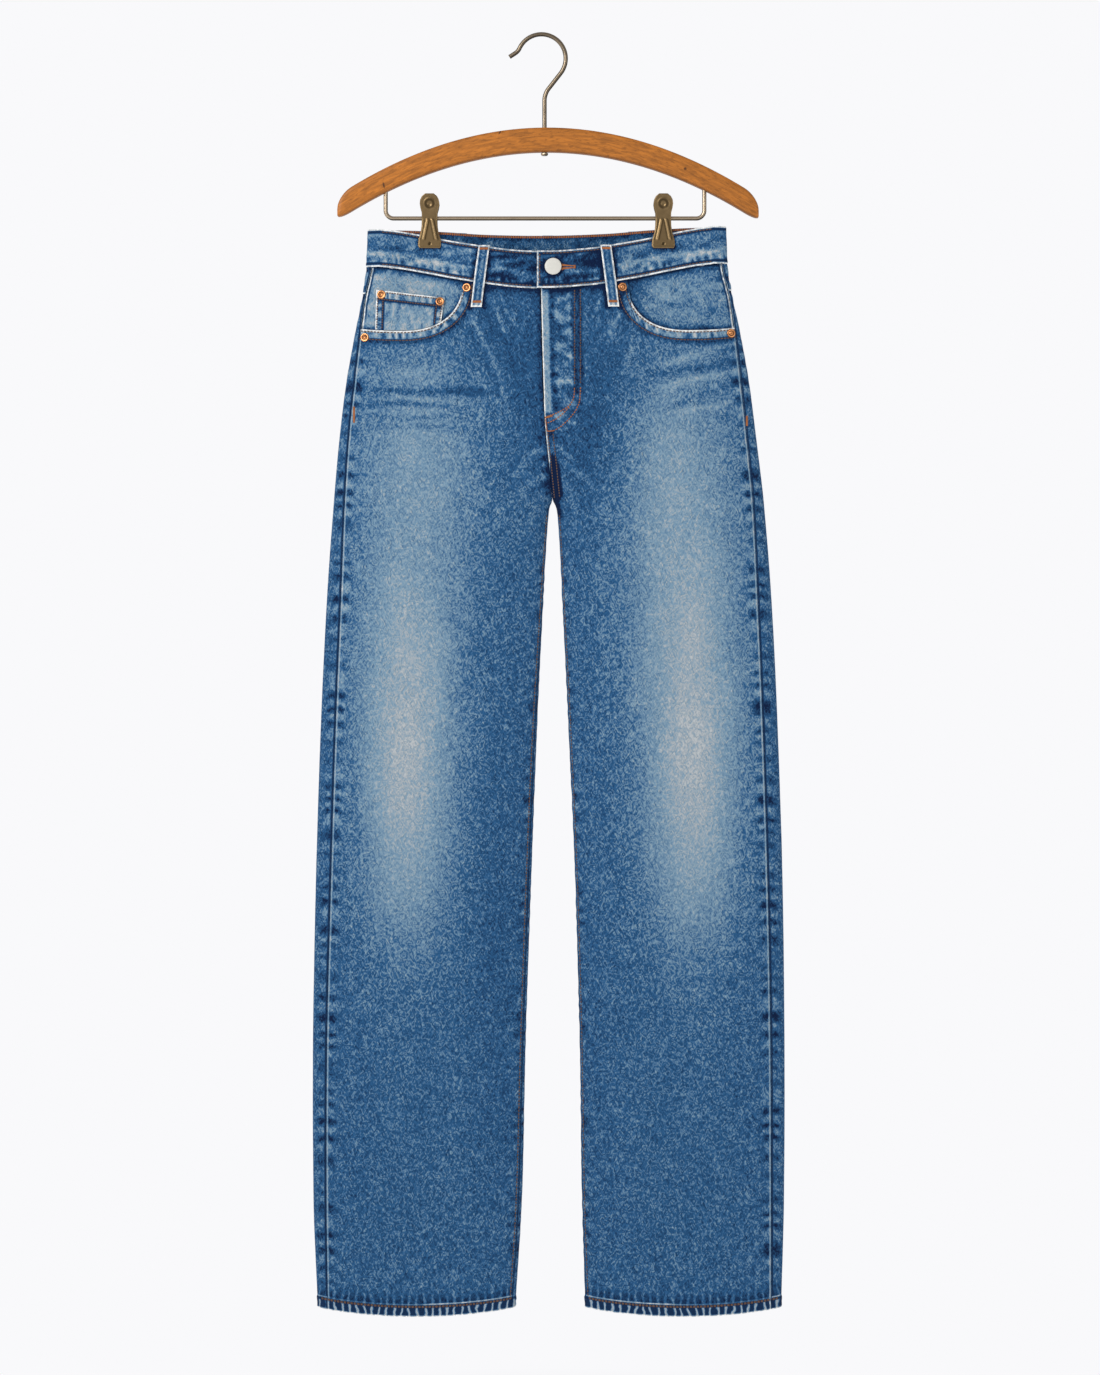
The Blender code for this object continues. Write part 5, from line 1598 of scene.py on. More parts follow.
def make_bar(wood):
    """The arched bar, with rounded edges and blunt tips. Its grain follows the arch."""
    places = (BAR_RIGHT_END, BAR_LEFT_END)
    xs = crowded(BAR_RIGHT_END, BAR_LEFT_END, 4 * MM, 0.25 * MM, places, 7 * MM)
    near_tip = np.clip(1 - np.minimum(xs - BAR_RIGHT_END, BAR_LEFT_END - xs) / BAR_TIP, 0, 1)
    rounding = 1 - np.sqrt(1 - near_tip**2)
    upper = bar_top(xs) - BAR_TIP_FALL * rounding
    lower = bar_top(xs) - BAR_HEIGHT + BAR_TIP_LIFT * rounding
    half = BAR_THICKNESS / 2 * (1 - 0.25 * near_tip**6)
    turns = full_turn(48)
    squareness = 2 / 5.5
    across = np.sign(np.cos(turns)) * abs(np.cos(turns)) ** squareness
    up = np.sign(np.sin(turns)) * abs(np.sin(turns)) ** squareness
    y = half[:, None] * across
    z = mix(lower, upper, 0.5)[:, None] + (upper - lower)[:, None] / 2 * up
    x = np.broadcast_to(xs[:, None], z.shape)
    points = np.stack([x, y, z], axis=-1)
    count, sides = z.shape
    index = places_in(count, sides)
    after = np.roll(index, -1, axis=1)
    faces = np.stack([index[:-1], index[1:], after[1:], after[:-1]], axis=-1).reshape(-1, 4).tolist()
    faces += [index[0].tolist(), index[-1][::-1].tolist()]
    grain = z - bar_top(x)
    return link_mesh("hanger_bar_wood", points.reshape(-1, 3), faces, wood, {"grain": grain}, 60)


Bend = namedtuple("Bend", "degrees radius straight")


def bent_wire(start, heading_degrees, bends):
    """Points along a wire bent in the XZ plane."""
    x, z = start
    heading = math.radians(heading_degrees)
    points = [(x, 0, z)]
    for bend in bends:
        for _ in range(math.ceil(abs(bend.degrees) / 3)):
            turn_by = math.radians(bend.degrees) / math.ceil(abs(bend.degrees) / 3)
            chord = 2 * bend.radius * math.sin(abs(turn_by) / 2)
            x += chord * math.cos(heading + turn_by / 2)
            z += chord * math.sin(heading + turn_by / 2)
            heading += turn_by
            points.append((x, 0, z))
        if bend.straight:
            x += bend.straight * math.cos(heading)
            z += bend.straight * math.sin(heading)
            points.append((x, 0, z))
    return points


def make_wire(name, points, radius, material):
    curve = bpy.data.curves.new(name, "CURVE")
    curve.dimensions = "3D"
    curve.bevel_depth = radius
    curve.bevel_resolution = 7
    curve.use_fill_caps = True
    spline = curve.splines.new("POLY")
    spline.points.add(len(points) - 1)
    for knot, point in zip(spline.points, points):
        knot.co = (*point, 1)
    spline.use_smooth = True
    curve.materials.append(material)
    return link_object(name, curve)


def make_hook(material):
    """The hook, from its stem over the crown to its flared tip."""
    lean, tip_arc, reverse = 38, 155, 20 * MM
    flare, flare_radius, tip_straight = 32, 12 * MM, 6.8 * MM
    centre_z = WIRE_RADIUS - HOOK_RADIUS
    arc_x = HOOK_RADIUS * math.cos(math.radians(-lean))
    arc_z = centre_z + HOOK_RADIUS * math.sin(math.radians(-lean))
    reverse_shift = reverse * (1 - math.cos(math.radians(lean)))
    slant = (arc_x - STEM_X - reverse_shift) / math.sin(math.radians(lean))
    stem_top = arc_z - slant * math.cos(math.radians(lean)) - reverse * math.sin(math.radians(lean))
    stem_end = BAR_TOP_Z - BAR_HEIGHT - 0.5 * MM
    bends = (
        Bend(0, 0, stem_top - stem_end),
        Bend(-lean, reverse, slant),
        Bend(lean + tip_arc, HOOK_RADIUS, 0),
        Bend(-flare, flare_radius, tip_straight),
    )
    points = bent_wire((STEM_X, stem_end), 90, bends)
    return make_wire("hanger_hook_wire", points, WIRE_RADIUS, material)


def make_rod(material):
    right_top, left_top = (
        bar_top(x) - BAR_HEIGHT + ROD_SOCKET - SEAM_GAP for x in (ROD_RIGHT_X, ROD_LEFT_X)
    )
    bends = (
        Bend(0, 0, right_top - ROD_Z - ROD_BEND),
        Bend(90, ROD_BEND, ROD_LEFT_X - ROD_RIGHT_X - 2 * ROD_BEND),
        Bend(90, ROD_BEND, left_top - ROD_Z - ROD_BEND),
    )
    points = bent_wire((ROD_RIGHT_X, right_top), -90, bends)
    return make_wire("hanger_rod_wire", points, ROD_RADIUS, material)


CLIP_ROWS = rows_of(
    "z half_width gap",
    (-158.0, 4.2, 9.0),
    (-160.6, 7.5, 8.4),
    (-164.0, 9.3, 7.7),
    (-168.0, 9.75, 6.9),
    (-172.5, 9.0, 6.0),
    (-176.5, 7.9, 5.2),
    (-182.0, 7.7, 4.35),
    (-190.0, 8.0, 4.35),
    (-197.0, 9.0, 4.35),
    (-203.0, 11.0, 4.35),
    (-209.5, 11.5, 4.35),
    (-212.1, 10.2, 4.35),
)
CLIP_TOP_Z = -158 * MM
CLIP_HEAD_Z = -168 * MM
CLIP_HOLE_Z = -207.5 * MM
CLIP_RIBS_TOP_Z = -183 * MM
CLIP_RIBS_LENGTH = 21 * MM


def make_clip_plate(side, layer, material):
    """A pressed sheet plate: a round head with a dimple, two ribs that spread towards the jaw and a
    small hole above its lip."""
    facing = -1 if layer == "front" else 1
    rows = np.array([(row.z, row.half_width, row.gap) for row in CLIP_ROWS][::-1]) * MM
    z = crowded(CLIP_TOP_Z, CLIP_JAW_Z, 0.7 * MM, 0.2 * MM, (CLIP_TOP_Z, CLIP_JAW_Z), 2 * MM)[:, None]
    half = np.interp(z, rows[:, 0], rows[:, 1])
    gap = np.interp(z, rows[:, 0], rows[:, 2])
    share = np.sin(np.linspace(-math.pi / 2, math.pi / 2, 41))[None]
    x = CLIP_XS[side] + half * share
    from_middle = x - CLIP_XS[side]
    edge = nearest(half - abs(from_middle), z - CLIP_JAW_Z, CLIP_TOP_Z - z)
    # Ribs run from under the head to the jaw's corners
    down = np.clip((CLIP_RIBS_TOP_Z - z) / CLIP_RIBS_LENGTH, 0, 1)
    rib_at = mix(2.2 * MM, 6.6 * MM, down)
    from_ribs = abs(z - CLIP_RIBS_TOP_Z + CLIP_RIBS_LENGTH / 2)
    ribbed = fade(from_ribs, 9.5 * MM, 11.5 * MM)
    relief = 0.75 * MM * ribbed * bell(abs(from_middle) - rib_at, 0.9 * MM)
    head = np.hypot(from_middle, z - CLIP_HEAD_Z)
    relief += 0.5 * MM * fade(head, 5.4 * MM, 6.6 * MM) - 0.9 * MM * fade(head, 1.4 * MM, 2.6 * MM)
    hole = np.hypot(from_middle, z - CLIP_HOLE_Z)
    relief -= 1.0 * MM * fade(hole, 1.0 * MM, 1.5 * MM)
    relief -= 0.6 * MM * bell(edge, 0.6 * MM)
    lip = 0.5 * MM * fade(z - CLIP_JAW_Z, 1 * MM, 2.5 * MM)
    y = facing * (gap + CLIP_SHEET + relief + lip)
    outer = np.stack(np.broadcast_arrays(x, y, z), axis=-1)
    inner = np.stack(np.broadcast_arrays(x, facing * gap, z), axis=-1)
    # Dark in the hole's dent, the head's ring and beside the ribs: painted shade
    pit = fade(hole, 1.2 * MM, 1.9 * MM) + 0.8 * fade(abs(head - 3.9 * MM), 0.7 * MM, 1.7 * MM)
    pit += 0.9 * ribbed * bell(abs(abs(from_middle) - rib_at) - 1.9 * MM, 0.8 * MM)
    # Bright on the raised ribs and edges, rubbed and painted highlight, with a painted glint under the head
    glint = np.hypot(from_middle - 1.4 * MM, z - CLIP_HEAD_Z + 3.6 * MM)
    rub = np.clip(relief / (0.4 * MM), 0, 1.4) * ribbed + 0.5 * bell(edge, 0.8 * MM)
    rub += 3 * bell(glint, 1.3 * MM)
    name = f"{side}_clip_{layer}_plate_metal"
    return wall(name, material, outer, inner, {"pit": pit, "rub": rub}, {"pit": 0.0, "rub": 0.0})


def make_clip_barrel(side, material):
    """The spring's coil round the rod."""
    turns = full_turn(40)
    along = np.linspace(-CLIP_BARREL_LENGTH / 2, CLIP_BARREL_LENGTH / 2, 61)
    coils = 7
    swell = 0.5 * MM * np.sin(along[:, None] / CLIP_BARREL_LENGTH * coils * 2 * math.pi + turns[None]) ** 2
    radius = CLIP_BARREL_RADIUS - 0.5 * MM + swell
    x = np.broadcast_to(CLIP_XS[side] + along[:, None], radius.shape)
    outside, bore = (
        np.stack([x, r * np.cos(turns), ROD_Z + r * np.sin(turns)], axis=-1)
        for r in (radius, np.full(radius.shape, ROD_RADIUS + SEAM_GAP))
    )
    points = np.concatenate([outside, bore[::-1]])
    count, sides = points.shape[:2]
    index = places_in(count, sides)
    below = np.roll(index, -1, axis=0)
    faces = np.stack([index, below, np.roll(below, -1, axis=1), np.roll(index, -1, axis=1)], axis=-1)
    faces = faces.reshape(-1, 4).tolist()
    return link_mesh(side + "_clip_barrel_metal", points.reshape(-1, 3), faces, material)


# Materials


def add_node(tree, kind, inputs=None, **settings):
    """A new node. Inputs, by name or place, are values, sockets, or nodes whose first output in use
    is taken."""
    node = tree.nodes.new("ShaderNode" + kind)
    for name, value in settings.items():
        setattr(node, name, value)
    for key, value in (inputs or {}).items():
        if isinstance(value, bpy.types.Node):
            value = next(socket for socket in value.outputs if socket.enabled)
        if isinstance(value, bpy.types.NodeSocket):
            tree.links.new(value, node.inputs[key])
        else:
            node.inputs[key].default_value = value
    return node


def solid(colour, share=1):
    """A share of a colour, fully opaque."""
    return (*(share * part for part in colour), 1)


def material(name, paint, *details):
    """The material of that name. The first time, its function paints it: it is given what adds
    nodes to the material, and the place on the object."""
    made = bpy.data.materials.get(name)
    if made is None:
        made = bpy.data.materials.new(name)
        made.use_nodes = True
        tree = made.node_tree
        tree.nodes.clear()
        node = partial(add_node, tree)
        where = node("TexCoord").outputs["Object"]
        node("OutputMaterial", {"Surface": paint(node, where, *details)})
    return made


def patches(node, where, size, detail, colour, dark, light):
    """(noise, shade) of a colour that wanders between two shares of itself, in soft patches."""
    uneven = node("TexNoise", {"Vector": where, "Scale": 1 / size, "Detail": detail})
    ends = {"Factor": uneven, "A": solid(colour, dark), "B": solid(colour, light)}
    return uneven, node("Mix", ends, data_type="RGBA")


def paint_denim(node, where):
    """Heavy cotton twill, warp dyed with indigo, stonewashed and sanded by hand at the thighs. The eye gets
    a matt blue with short pale slubs across it, white folded edges, and dark lines of unfaded dye and
    painted shade beside the seams and under raised edges. The twill's 0.8 mm ridges are drawn as a 1.2 mm
    grain, because a picture of the whole jeans would turn finer ones into bands."""
    colours = finish_colours()
    dye, hem, bright, dark = (
        node("Attribute", attribute_name=name).outputs["Fac"]
        for name in ("level", "hem", "bright", "dark")
    )

    # Short flecks at two slants, the grain, clouds left by the wash, and curling yarns
    flecks = []
    for degrees, width, length_mm, amount in ((-25, 1.1, 5.2, 0.60), (32, 1.1, 4.4, 0.52)):
        slant = {"Vector": where, "Rotation": (0, math.radians(degrees), 0)}
        slant["Scale"] = (width * MM, 3 * MM, length_mm * MM)
        slant = node("Mapping", slant, vector_type="TEXTURE")
        flecks.append((amount, node("TexNoise", {"Vector": slant, "Scale": 1, "Detail": 2})))
    for size, detail, amount in ((1.2, 2, 0.30), (14, 3, 0.18)):
        grain = {"Vector": where, "Scale": 1 / (size * MM), "Detail": detail}
        flecks.append((amount, node("TexNoise", grain)))
    curls = node("TexNoise", {"Vector": where, "Scale": 1 / (6.5 * MM), "Detail": 1})
    curls = node("Math", {0: curls, 1: 9}, operation="MULTIPLY")
    curls = node("Math", {0: curls, 1: 1}, operation="PINGPONG")
    flecks.append((0.25, curls))
    marks = 0
    for amount, source in flecks:
        marks = node("Math", {0: source, 1: amount, 2: marks}, operation="MULTIPLY_ADD")
    bias = sum(amount for amount, _ in flecks) / 2
    marks = node("Math", {0: marks, 1: bias}, operation="SUBTRACT")
    # Marks stand out most on cloth that has kept its dye
    reach = {"Value": dye, "From Min": 0.5, "From Max": 0.85, "To Min": 1.15, "To Max": 0.42}
    weight = node("MapRange", reach)
    level = node("Math", {0: marks, 1: weight, 2: dye}, operation="MULTIPLY_ADD")
    level = node("Math", {0: level, 1: 0.94}, operation="MINIMUM")

    # Ropes of pale and dark in the hems, 7.5 mm apart
    ticks = {"Vector": where, "Scale": 2 * math.pi / (20 * 7.5 * MM)}
    ticks |= {"Distortion": 3.5, "Detail Scale": 2}
    ticks = node("TexWave", ticks, wave_type="BANDS", bands_direction="X").outputs["Fac"]
    ticks = {"Value": ticks, "From Min": 0.55, "From Max": 0.95, "To Min": 0.07, "To Max": 0.88}
    level = node("Mix", {"Factor": hem, "A": level, "B": node("MapRange", ticks)})

    # Dark lines of unfaded dye and painted shade in seams and under raised edges, and worn white folds that
    # are broken up along their length
    trench = {"Value": dark, "From Min": 0.8, "From Max": 2.0, "To Min": 0.95, "To Max": 0}
    level = node("Mix", {"Factor": node("MapRange", trench), "A": level, "B": 0.03})
    patchy = node("TexNoise", {"Vector": where, "Scale": 1 / (5 * MM), "Detail": 2})
    patchy = node("MapRange", {"Value": patchy, "From Min": 0.3, "From Max": 0.6, "To Min": 0.8})
    fold = {"Value": bright, "From Min": 1.5, "From Max": 2.5, "To Min": 1, "To Max": 0}
    fold = node("Math", {0: node("MapRange", fold), 1: patchy}, operation="MULTIPLY")
    level = node("Mix", {"Factor": fold, "A": level, "B": 1.0})

    shade = node("ValToRGB", {"Fac": level})
    stops = (
        (0.0, colours.indigo_deep),
        (0.48, colours.indigo),
        (0.78, colours.indigo_worn),
        (0.93, colours.indigo_faded),
        (1.0, colours.worn_edge),
    )
    ramp = shade.color_ramp.elements
    for place, _ in stops[1:-1]:
        ramp.new(place)
    for stop, (_, colour) in zip(ramp, stops):
        stop.color = solid(colour)
    relief = node("Math", {0: flecks[0][1], 1: flecks[1][1]}, operation="ADD")
    relief = node("Math", {0: curls, 1: 0.35, 2: relief}, operation="MULTIPLY_ADD")
    bump = node("Bump", {"Strength": 1.0, "Distance": 1.3 * MM, "Height": relief})
    look = {"Base Color": shade, "Roughness": 0.88, "IOR": 1.5, "Specular IOR Level": 0.12}
    look |= {"Sheen Weight": 0.03, "Sheen Roughness": 0.5, "Normal": bump}
    return node("BsdfPrincipled", look)


def washed_denim():
    return material("washed_denim", paint_denim)


def paint_thread(node, where, colour):
    """Polyester core wrapped in cotton, 0.8 mm thick when laid double. The eye gets a soft, matt
    line of small plump stitches."""
    _, shade = patches(node, where, 7 * MM, 3, colour, 0.55, 1.35)
    look = {"Base Color": shade, "Roughness": 0.7, "IOR": 1.5, "Sheen Weight": 0.2}
    return node("BsdfPrincipled", look)


NICKS = rows_of(
    "x z width height degrees",
    (-131.5, -119, 2.0, 7.0, 8),
    (-157.5, -149.5, 2.2, 8.0, -12),
    (-41.5, -96.5, 2.2, 6.0, 30),
    (143.5, -133, 3.4, 3.4, 0),
)
NICK_BROWN = "#3a1f0d"


def paint_beech(node, where, base):
    """Beech bar, stained orange-brown and varnished. The eye gets fine wavy grain along the arch,
    short dark flecks, a few nicks and a soft gloss over it all."""
    split = node("SeparateXYZ", {"Vector": where}).outputs
    height = node("Attribute", attribute_name="grain").outputs["Fac"]
    along = node("CombineXYZ", {"X": split["X"], "Y": split["Y"], "Z": height})
    placed = {"Vector": along, "Scale": (18 * MM, 6 * MM, 2.8 * MM)}
    placed = node("Mapping", placed, vector_type="TEXTURE")
    streaks = node("TexNoise", {"Vector": placed, "Scale": 1, "Detail": 4, "Distortion": 0.8})
    shade = node("ValToRGB", {"Fac": streaks})
    for stop, place, share in zip(shade.color_ramp.elements, (0.32, 0.68), (0.66, 1.28)):
        stop.position = place
        stop.color = solid(base, share)
    # Flecks, painted shade along the bar's under-edge, and painted shade darkening it towards its left end,
    # away from the light
    placed = {"Vector": along, "Scale": (6 * MM, 3 * MM, 1.9 * MM), "Rotation": (0, math.radians(-7), 0)}
    placed = node("Mapping", placed, vector_type="TEXTURE")
    flecks = node("TexNoise", {"Vector": placed, "Scale": 1, "Detail": 2})
    weight = node("MapRange", {"Value": flecks, "From Min": 0.54, "From Max": 0.68})
    under = {"Value": height, "From Min": -23.8 * MM, "From Max": -21.8 * MM, "To Min": 1.2, "To Max": 0}
    older = {"Value": split["X"], "From Min": -150 * MM, "From Max": 200 * MM, "To Max": 0.42}
    for reach in (under, older):
        weight = node("Math", {0: weight, 1: node("MapRange", reach)}, operation="ADD")
    weight = node("Math", {0: weight, 1: 0.6}, operation="MULTIPLY", use_clamp=True)
    shade = node("Mix", {"Factor": weight, "A": shade, "B": solid(base, 0.5)}, data_type="RGBA")
    for nick in NICKS:
        placed = {"Vector": where, "Location": (nick.x * MM, -BAR_THICKNESS / 2, nick.z * MM)}
        placed["Rotation"] = (0, math.radians(nick.degrees), 0)
        placed["Scale"] = (nick.width / 2 * MM, 3 * MM, nick.height / 2 * MM)
        placed = node("Mapping", placed, vector_type="TEXTURE")
        away = node("VectorMath", {0: placed}, operation="LENGTH")
        reach = {"Value": away, "From Min": 0.5, "From Max": 1, "To Min": 0.85, "To Max": 0}
        mask = {"Factor": node("MapRange", reach), "A": shade, "B": solid(from_hex(NICK_BROWN))}
        shade = node("Mix", mask, data_type="RGBA")
    look = {"Base Color": shade, "Roughness": 0.55, "IOR": 1.5, "Specular IOR Level": 0.3}
    look |= {"Coat Weight": 0.14, "Coat Roughness": 0.22}
    return node("BsdfPrincipled", look)


def paint_metal(node, where, colour, roughness, patch, rubbed=False, underside=0.0):
    """A worn metal: its colour wanders in patches; where asked it is bright on rubbed edges and painted
    highlights and dark in its pits and painted shade, and painted shade darkens the side that faces down and
    towards +X by that share."""
    tarnish, shade = patches(node, where, patch, 4, colour, 0.66, 1.3)
    masks = []
    if rubbed:
        for field, amount, share in (("rub", 0.5, 1.8), ("pit", 0.9, 0.16)):
            field = node("Attribute", attribute_name=field).outputs["Fac"]
            weight = node("Math", {0: field, 1: amount}, operation="MULTIPLY", use_clamp=True)
            masks.append((weight, share))
    # Painted shade on the side facing down and towards +X, from the object's normals
    if underside:
        normal = node("TexCoord").outputs["Normal"]
        below = node("VectorMath", {0: normal, 1: (0.55, 0, -0.83)}, operation="DOT_PRODUCT")
        reach = {"Value": below, "From Min": 0.12, "From Max": 0.5, "To Max": underside}
        masks.append((node("MapRange", reach), 0.1))
    for weight, share in masks:
        shade = {"Factor": weight, "A": shade, "B": solid(colour, share)}
        shade = node("Mix", shade, data_type="RGBA")
    dull = {"Value": tarnish, "To Min": roughness + 0.1, "To Max": roughness - 0.1}
    dull = node("MapRange", dull)
    return node("BsdfPrincipled", {"Base Color": shade, "Metallic": 1, "Roughness": dull})


def bronze_wire(name="bronze_plated_wire", shade=1.0):
    """Steel wire plated with bronze, drawn and tumbled: a brown-grey metal with a soft shine. The hook's
    copy is darker than the rod's, as painted shade."""
    colour = tuple(shade * part for part in finish_colours().bronze)
    return material(name, paint_metal, colour, 0.34, 12 * MM, False, 0.9)


def aged_brass():
    """Brass sheet, pressed and left to dull: a grey-gold metal, bright where rubbed and at a painted glint,
    dark in pits and in painted shade.
    """
    colour = finish_colours().aged_brass
    return material("aged_brass_sheet", paint_metal, colour, 0.42, 5 * MM, True)


def burnished_copper():
    """Copper rivet heads, pressed and burnished: an orange metal with a satin shine."""
    colour = finish_colours().copper
    return material("burnished_copper", paint_metal, colour, 0.32, 6 * MM, True)


def paint_enamel(node, where, colour):
    """Off-white baked enamel on a pressed steel button: smooth and satin, with a few duller specks."""
    _, shade = patches(node, where, 3 * MM, 3, colour, 0.9, 1.0)
    return node("BsdfPrincipled", {"Base Color": shade, "Roughness": 0.38, "IOR": 1.5})


# The flat cut of what shows of each piece: its greatest width and length along the cloth, in
# millimetres, and its area in square centimetres

CUTS = rows_of(
    "piece width length area rests_on",
    ("right_front_denim", 238, 1035, 1970, "waistband"),
    ("left_front_denim", 232, 1036, 1950, "waistband"),
    ("right_back_denim", 258, 1017, 2415, "right_yoke"),
    ("left_back_denim", 249, 1021, 2330, "left_yoke"),
    ("right_yoke_denim", 201, 64, 86, "waistband"),
    ("left_yoke_denim", 198, 64, 84, "waistband"),
    ("waistband_denim", 782, 38, 290, "right_clip_front_plate"),
    ("right_pocket_facing_denim", 127, 74, 66, "waistband"),
    ("left_pocket_facing_denim", 133, 77, 70, "waistband"),
    ("coin_pocket_denim", 69, 41, 24, "right_pocket_facing"),
    ("right_back_pocket_denim", 133, 149, 177, "right_back"),
    ("left_back_pocket_denim", 133, 149, 177, "left_back"),
    *((loop.name + "_denim", 11.5, 62.5, 7.0, "waistband") for loop in LOOPS),
)


def put_cloth(made, slot, *nodes):
    """Places a piece of cloth in the part."""
    belongs(made, slot, *nodes)
    return made


def put_pair(make, slot, piece):
    """Makes and places the right and left piece of a pair."""
    for side in SIDES:
        put_cloth(make(side), slot, f"{side}_{piece}")


def need(*names):
    missing = [name for name in names if name not in bpy.data.objects]
    if missing:
        raise RuntimeError("build these first: " + ", ".join(missing))


# Operators


class JEANS_OT_fronts(Operator):
    """Build both front panels, with the fly on the left one"""

    bl_idname = "jeans.fronts"
    bl_label = "Fronts"

    def execute(self, context):
        put_pair(make_front, "denim", "front")
        return {"FINISHED"}


class JEANS_OT_backs(Operator):
    """Build both back panels"""

    bl_idname = "jeans.backs"
    bl_label = "Backs"

    def execute(self, context):
        put_pair(make_back, "denim", "back")
        return {"FINISHED"}


class JEANS_OT_yokes(Operator):
    """Build both back yokes"""

    bl_idname = "jeans.yokes"
    bl_label = "Yokes"

    def execute(self, context):
        put_pair(make_yoke, "denim", "yoke")
        return {"FINISHED"}


class JEANS_OT_waistband(Operator):
    """Build the waistband with its overlapping ends"""

    bl_idname = "jeans.waistband"
    bl_label = "Waistband"

    def execute(self, context):
        put_cloth(make_waistband(), "denim", "waistband")
        return {"FINISHED"}


class JEANS_OT_front_pockets(Operator):
    """Build the pocket facings and the coin pocket"""

    bl_idname = "jeans.front_pockets"
    bl_label = "Front pockets"

    def execute(self, context):
        put_pair(make_facing, "denim_facing", "pocket_facing")
        put_cloth(make_coin_pocket(), "denim", "coin_pocket")
        return {"FINISHED"}


class JEANS_OT_back_pockets(Operator):
    """Build both plain patch pockets"""

    bl_idname = "jeans.back_pockets"
    bl_label = "Back pockets"

    def execute(self, context):
        put_pair(make_back_pocket, "denim", "back_pocket")
        return {"FINISHED"}


class JEANS_OT_belt_loops(Operator):
    """Build the five belt loops"""

    bl_idname = "jeans.belt_loops"
    bl_label = "Belt loops"

    def execute(self, context):
        for loop in LOOPS:
            put_cloth(make_belt_loop(loop), "denim", loop.name)
        return {"FINISHED"}


class JEANS_OT_stitching(Operator):
    """Sew the rows, bartacks and buttonhole onto the cloth"""

    bl_idname = "jeans.stitching"
    bl_label = "Stitching"

    def execute(self, context):
        names = [cut.piece for cut in CUTS]
        need(*names)
        settings, colours = jeans_settings(), finish_colours()
        cloth = Cloth(names)
        rows, tacks = Threads(settings.thread_radius), Threads(settings.thread_radius)
        sew_fronts(rows, tacks, cloth, settings.stitch_length)
        sew_coin_pocket(rows, cloth)
        sew_backs(rows, tacks, cloth, settings.stitch_length)
        sew_waistband(rows, tacks, cloth, settings.stitch_length)
        sew_loops(tacks, cloth)
        sew_buttonhole(tacks, cloth)
        sew_side_tacks(tacks, cloth)
        rows.make("topstitching", material("aged_thread", paint_thread, colours.brown_thread), "denim")
        tacks.make("bartacks", material("copper_thread", paint_thread, colours.copper_thread), "denim")
        return {"FINISHED"}


class JEANS_OT_button(Operator):
    """Set the shank button at the waist"""

    bl_idname = "jeans.button"
    bl_label = "Button"

    def execute(self, context):
        place = front_place(BUTTON_X, BUTTON_Z, BAND_PROUD + OVERLAP_LIFT + SEAM_GAP)
        profile = turned_profile(BUTTON_PROFILE, BUTTON_RADIUS)
        enamel = material("satin_enamel", paint_enamel, finish_colours().enamel)
        made = turn("waist_button_enamel", profile, 56, enamel, *place)
        belongs(made, "button_enamel", "waist_button")
        return {"FINISHED"}


class JEANS_OT_rivets(Operator):
    """Set the six rivets at the pockets"""

    bl_idname = "jeans.rivets"
    bl_label = "Rivets"

    def execute(self, context):
        profile = turned_profile(RIVET_PROFILE, RIVET_RADIUS)
        for rivet in RIVETS:
            place = front_place(rivet.x * MM, rivet.z * MM, SEAM_GAP - rivet.sunk)
            made = turn(rivet.name + "_copper", profile, 40, burnished_copper(), *place)
            belongs(made, "copper", rivet.name)
        return {"FINISHED"}


class JEANS_OT_hanger_bar(Operator):
    """Build the hanger's arched wooden bar"""

    bl_idname = "jeans.hanger_bar"
    bl_label = "Hanger bar"

    def execute(self, context):
        wood = material("varnished_beech", paint_beech, finish_colours().wood)
        belongs(make_bar(wood), "wood", "hanger_bar")
        return {"FINISHED"}


class JEANS_OT_hanger_wires(Operator):
    """Bend the hook and the rod, and finish the nut under the bar"""

    bl_idname = "jeans.hanger_wires"
    bl_label = "Hook, nut and rod"

    def execute(self, context):
        belongs(make_hook(bronze_wire("tarnished_bronze_wire", 0.5)), "wire", "hanger_hook")
        belongs(make_rod(bronze_wire()), "wire", "hanger_rod")
        nut = bpy.data.objects.get("hanger_stem_nut")
        if nut is None:
            raise RuntimeError("the packed model has no stem nut")
        for place in nut.material_slots:
            place.material = bronze_wire()
        return {"FINISHED"}


class JEANS_OT_clips(Operator):
    """Press the two clips' plates and wind their springs"""

    bl_idname = "jeans.clips"
    bl_label = "Clips"

    def execute(self, context):
        for side in SIDES:
            for layer in ("front", "back"):
                made = make_clip_plate(side, layer, aged_brass())
                belongs(made, "aged_brass", f"{side}_clip_{layer}_plate")
            belongs(make_clip_barrel(side, aged_brass()), "aged_brass", side + "_clip_barrel")
        return {"FINISHED"}


# Studio

CAMERA_X = 8.5 * MM
CAMERA_Z = -651 * MM
FLOOR_Z = -1.45
SENSOR_MM = 36
AMBIENT = 0.42


def add_light(name, place, size, power, target):
    light = bpy.data.lights.new(name, "AREA")
    light.size = size
    light.energy = power
    made = link_object(name, light)
    made.location = place
    made.rotation_euler = (Vector(target) - Vector(place)).to_track_quat("-Z", "Y").to_euler()
    return made


def paint_board(node, where, backdrop):
    """Matt white board. Away from the jeans it takes the backdrop's own tone, so no edge shows."""
    away = node("VectorMath", {0: where}, operation="LENGTH")
    share = node("MapRange", {"Value": away, "From Min": 0.3, "From Max": 0.7, "To Min": 0.6})
    board = node("BsdfDiffuse", {"Color": solid(backdrop)})
    beyond = node("Emission", {"Color": solid(backdrop)})
    return node("MixShader", {0: share, 1: board, 2: beyond})


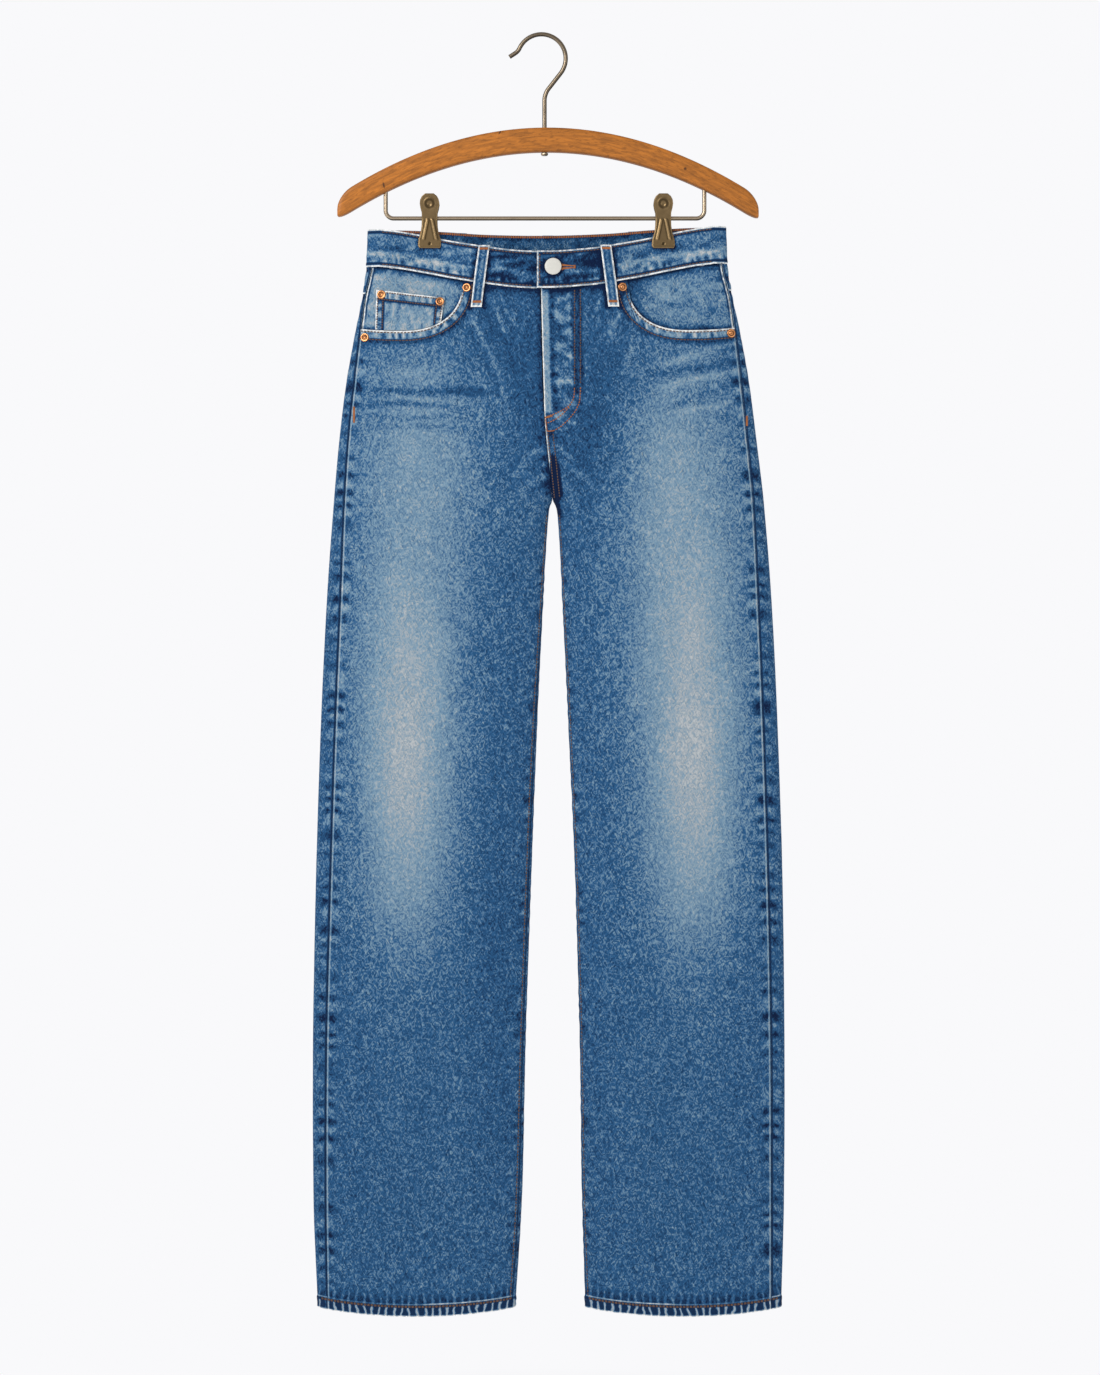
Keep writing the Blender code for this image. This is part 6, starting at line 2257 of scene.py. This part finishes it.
class JEANS_OT_studio(Operator):
    """Make the pale floor, the soft lights and the camera"""

    bl_idname = "jeans.studio"
    bl_label = "Studio"

    def execute(self, context):
        scene = context.scene
        settings = scene.jeans_studio
        backdrop = tuple(settings.backdrop)
        turns = full_turn(64)
        rim = np.stack([7 * np.cos(turns), 7 * np.sin(turns), 0 * turns], axis=1)
        board = material("pale_board", paint_board, backdrop)
        floor = link_mesh("floor", rim, [list(range(64))], board)
        floor.location.z = FLOOR_Z
        middle = (CAMERA_X, 0, CAMERA_Z)
        key = add_light("key_light", (-1.9, -2.5, 0.9), 1.6, settings.key_power, middle)
        fill = add_light("fill_light", (2.6, -2.2, -0.5), 2.2, settings.fill_power, middle)
        camera = link_object("camera", bpy.data.cameras.new("camera"))
        camera.location = (CAMERA_X, -settings.camera_distance, CAMERA_Z)
        camera.rotation_euler = (math.radians(90), 0, 0)
        camera.data.sensor_fit = "VERTICAL"
        camera.data.sensor_height = SENSOR_MM
        camera.data.lens = SENSOR_MM * settings.camera_distance / settings.view_height
        scene.camera = camera
        scene.view_settings.view_transform = "Standard"
        world = bpy.data.worlds.new("studio")
        world.use_nodes = True
        tree = world.node_tree
        tree.nodes.clear()
        soft = add_node(tree, "Background", {"Color": solid(backdrop), "Strength": AMBIENT})
        seen = add_node(tree, "Background", {"Color": solid(backdrop), "Strength": 1})
        both = add_node(tree, "MixShader", {0: add_node(tree, "LightPath"), 1: soft, 2: seen})
        add_node(tree, "OutputWorld", {"Surface": both})
        scene.world = world
        return {"FINISHED"}


OPERATORS = (
    JEANS_OT_fronts,
    JEANS_OT_backs,
    JEANS_OT_yokes,
    JEANS_OT_waistband,
    JEANS_OT_front_pockets,
    JEANS_OT_back_pockets,
    JEANS_OT_belt_loops,
    JEANS_OT_stitching,
    JEANS_OT_button,
    JEANS_OT_rivets,
    JEANS_OT_hanger_bar,
    JEANS_OT_hanger_wires,
    JEANS_OT_clips,
    JEANS_OT_studio,
)


class JEANS_PT_build(Panel):
    """Settings of the jeans and a button for each of their pieces"""

    bl_label = "Jeans"
    bl_idname = "JEANS_PT_build"
    bl_space_type = "VIEW_3D"
    bl_region_type = "UI"
    bl_category = "Jeans"

    def draw(self, context):
        layout = self.layout
        scene = context.scene
        for title, settings in (
            ("Denim", scene.jeans_denim),
            ("Colours", scene.jeans_colours),
            ("Studio", scene.jeans_studio),
        ):
            box = layout.box()
            box.label(text=title)
            for name in settings.__annotations__:
                box.prop(settings, name)
        column = layout.column(align=True)
        for operator in OPERATORS:
            column.operator(operator.bl_idname)


GROUPS = (DenimSettings, ColourSettings, StudioSettings)
CLASSES = GROUPS + OPERATORS + (JEANS_PT_build,)


def register():
    for item in CLASSES:
        bpy.utils.register_class(item)
    bpy.types.Scene.jeans_denim = bpy.props.PointerProperty(type=DenimSettings)
    bpy.types.Scene.jeans_colours = bpy.props.PointerProperty(type=ColourSettings)
    bpy.types.Scene.jeans_studio = bpy.props.PointerProperty(type=StudioSettings)


def unregister():
    del bpy.types.Scene.jeans_studio
    del bpy.types.Scene.jeans_colours
    del bpy.types.Scene.jeans_denim
    for item in reversed(CLASSES):
        bpy.utils.unregister_class(item)


def main():
    register()
    for operator in OPERATORS:
        group, name = operator.bl_idname.split(".")
        getattr(getattr(bpy.ops, group), name)()


if __name__ == "__main__":
    main()
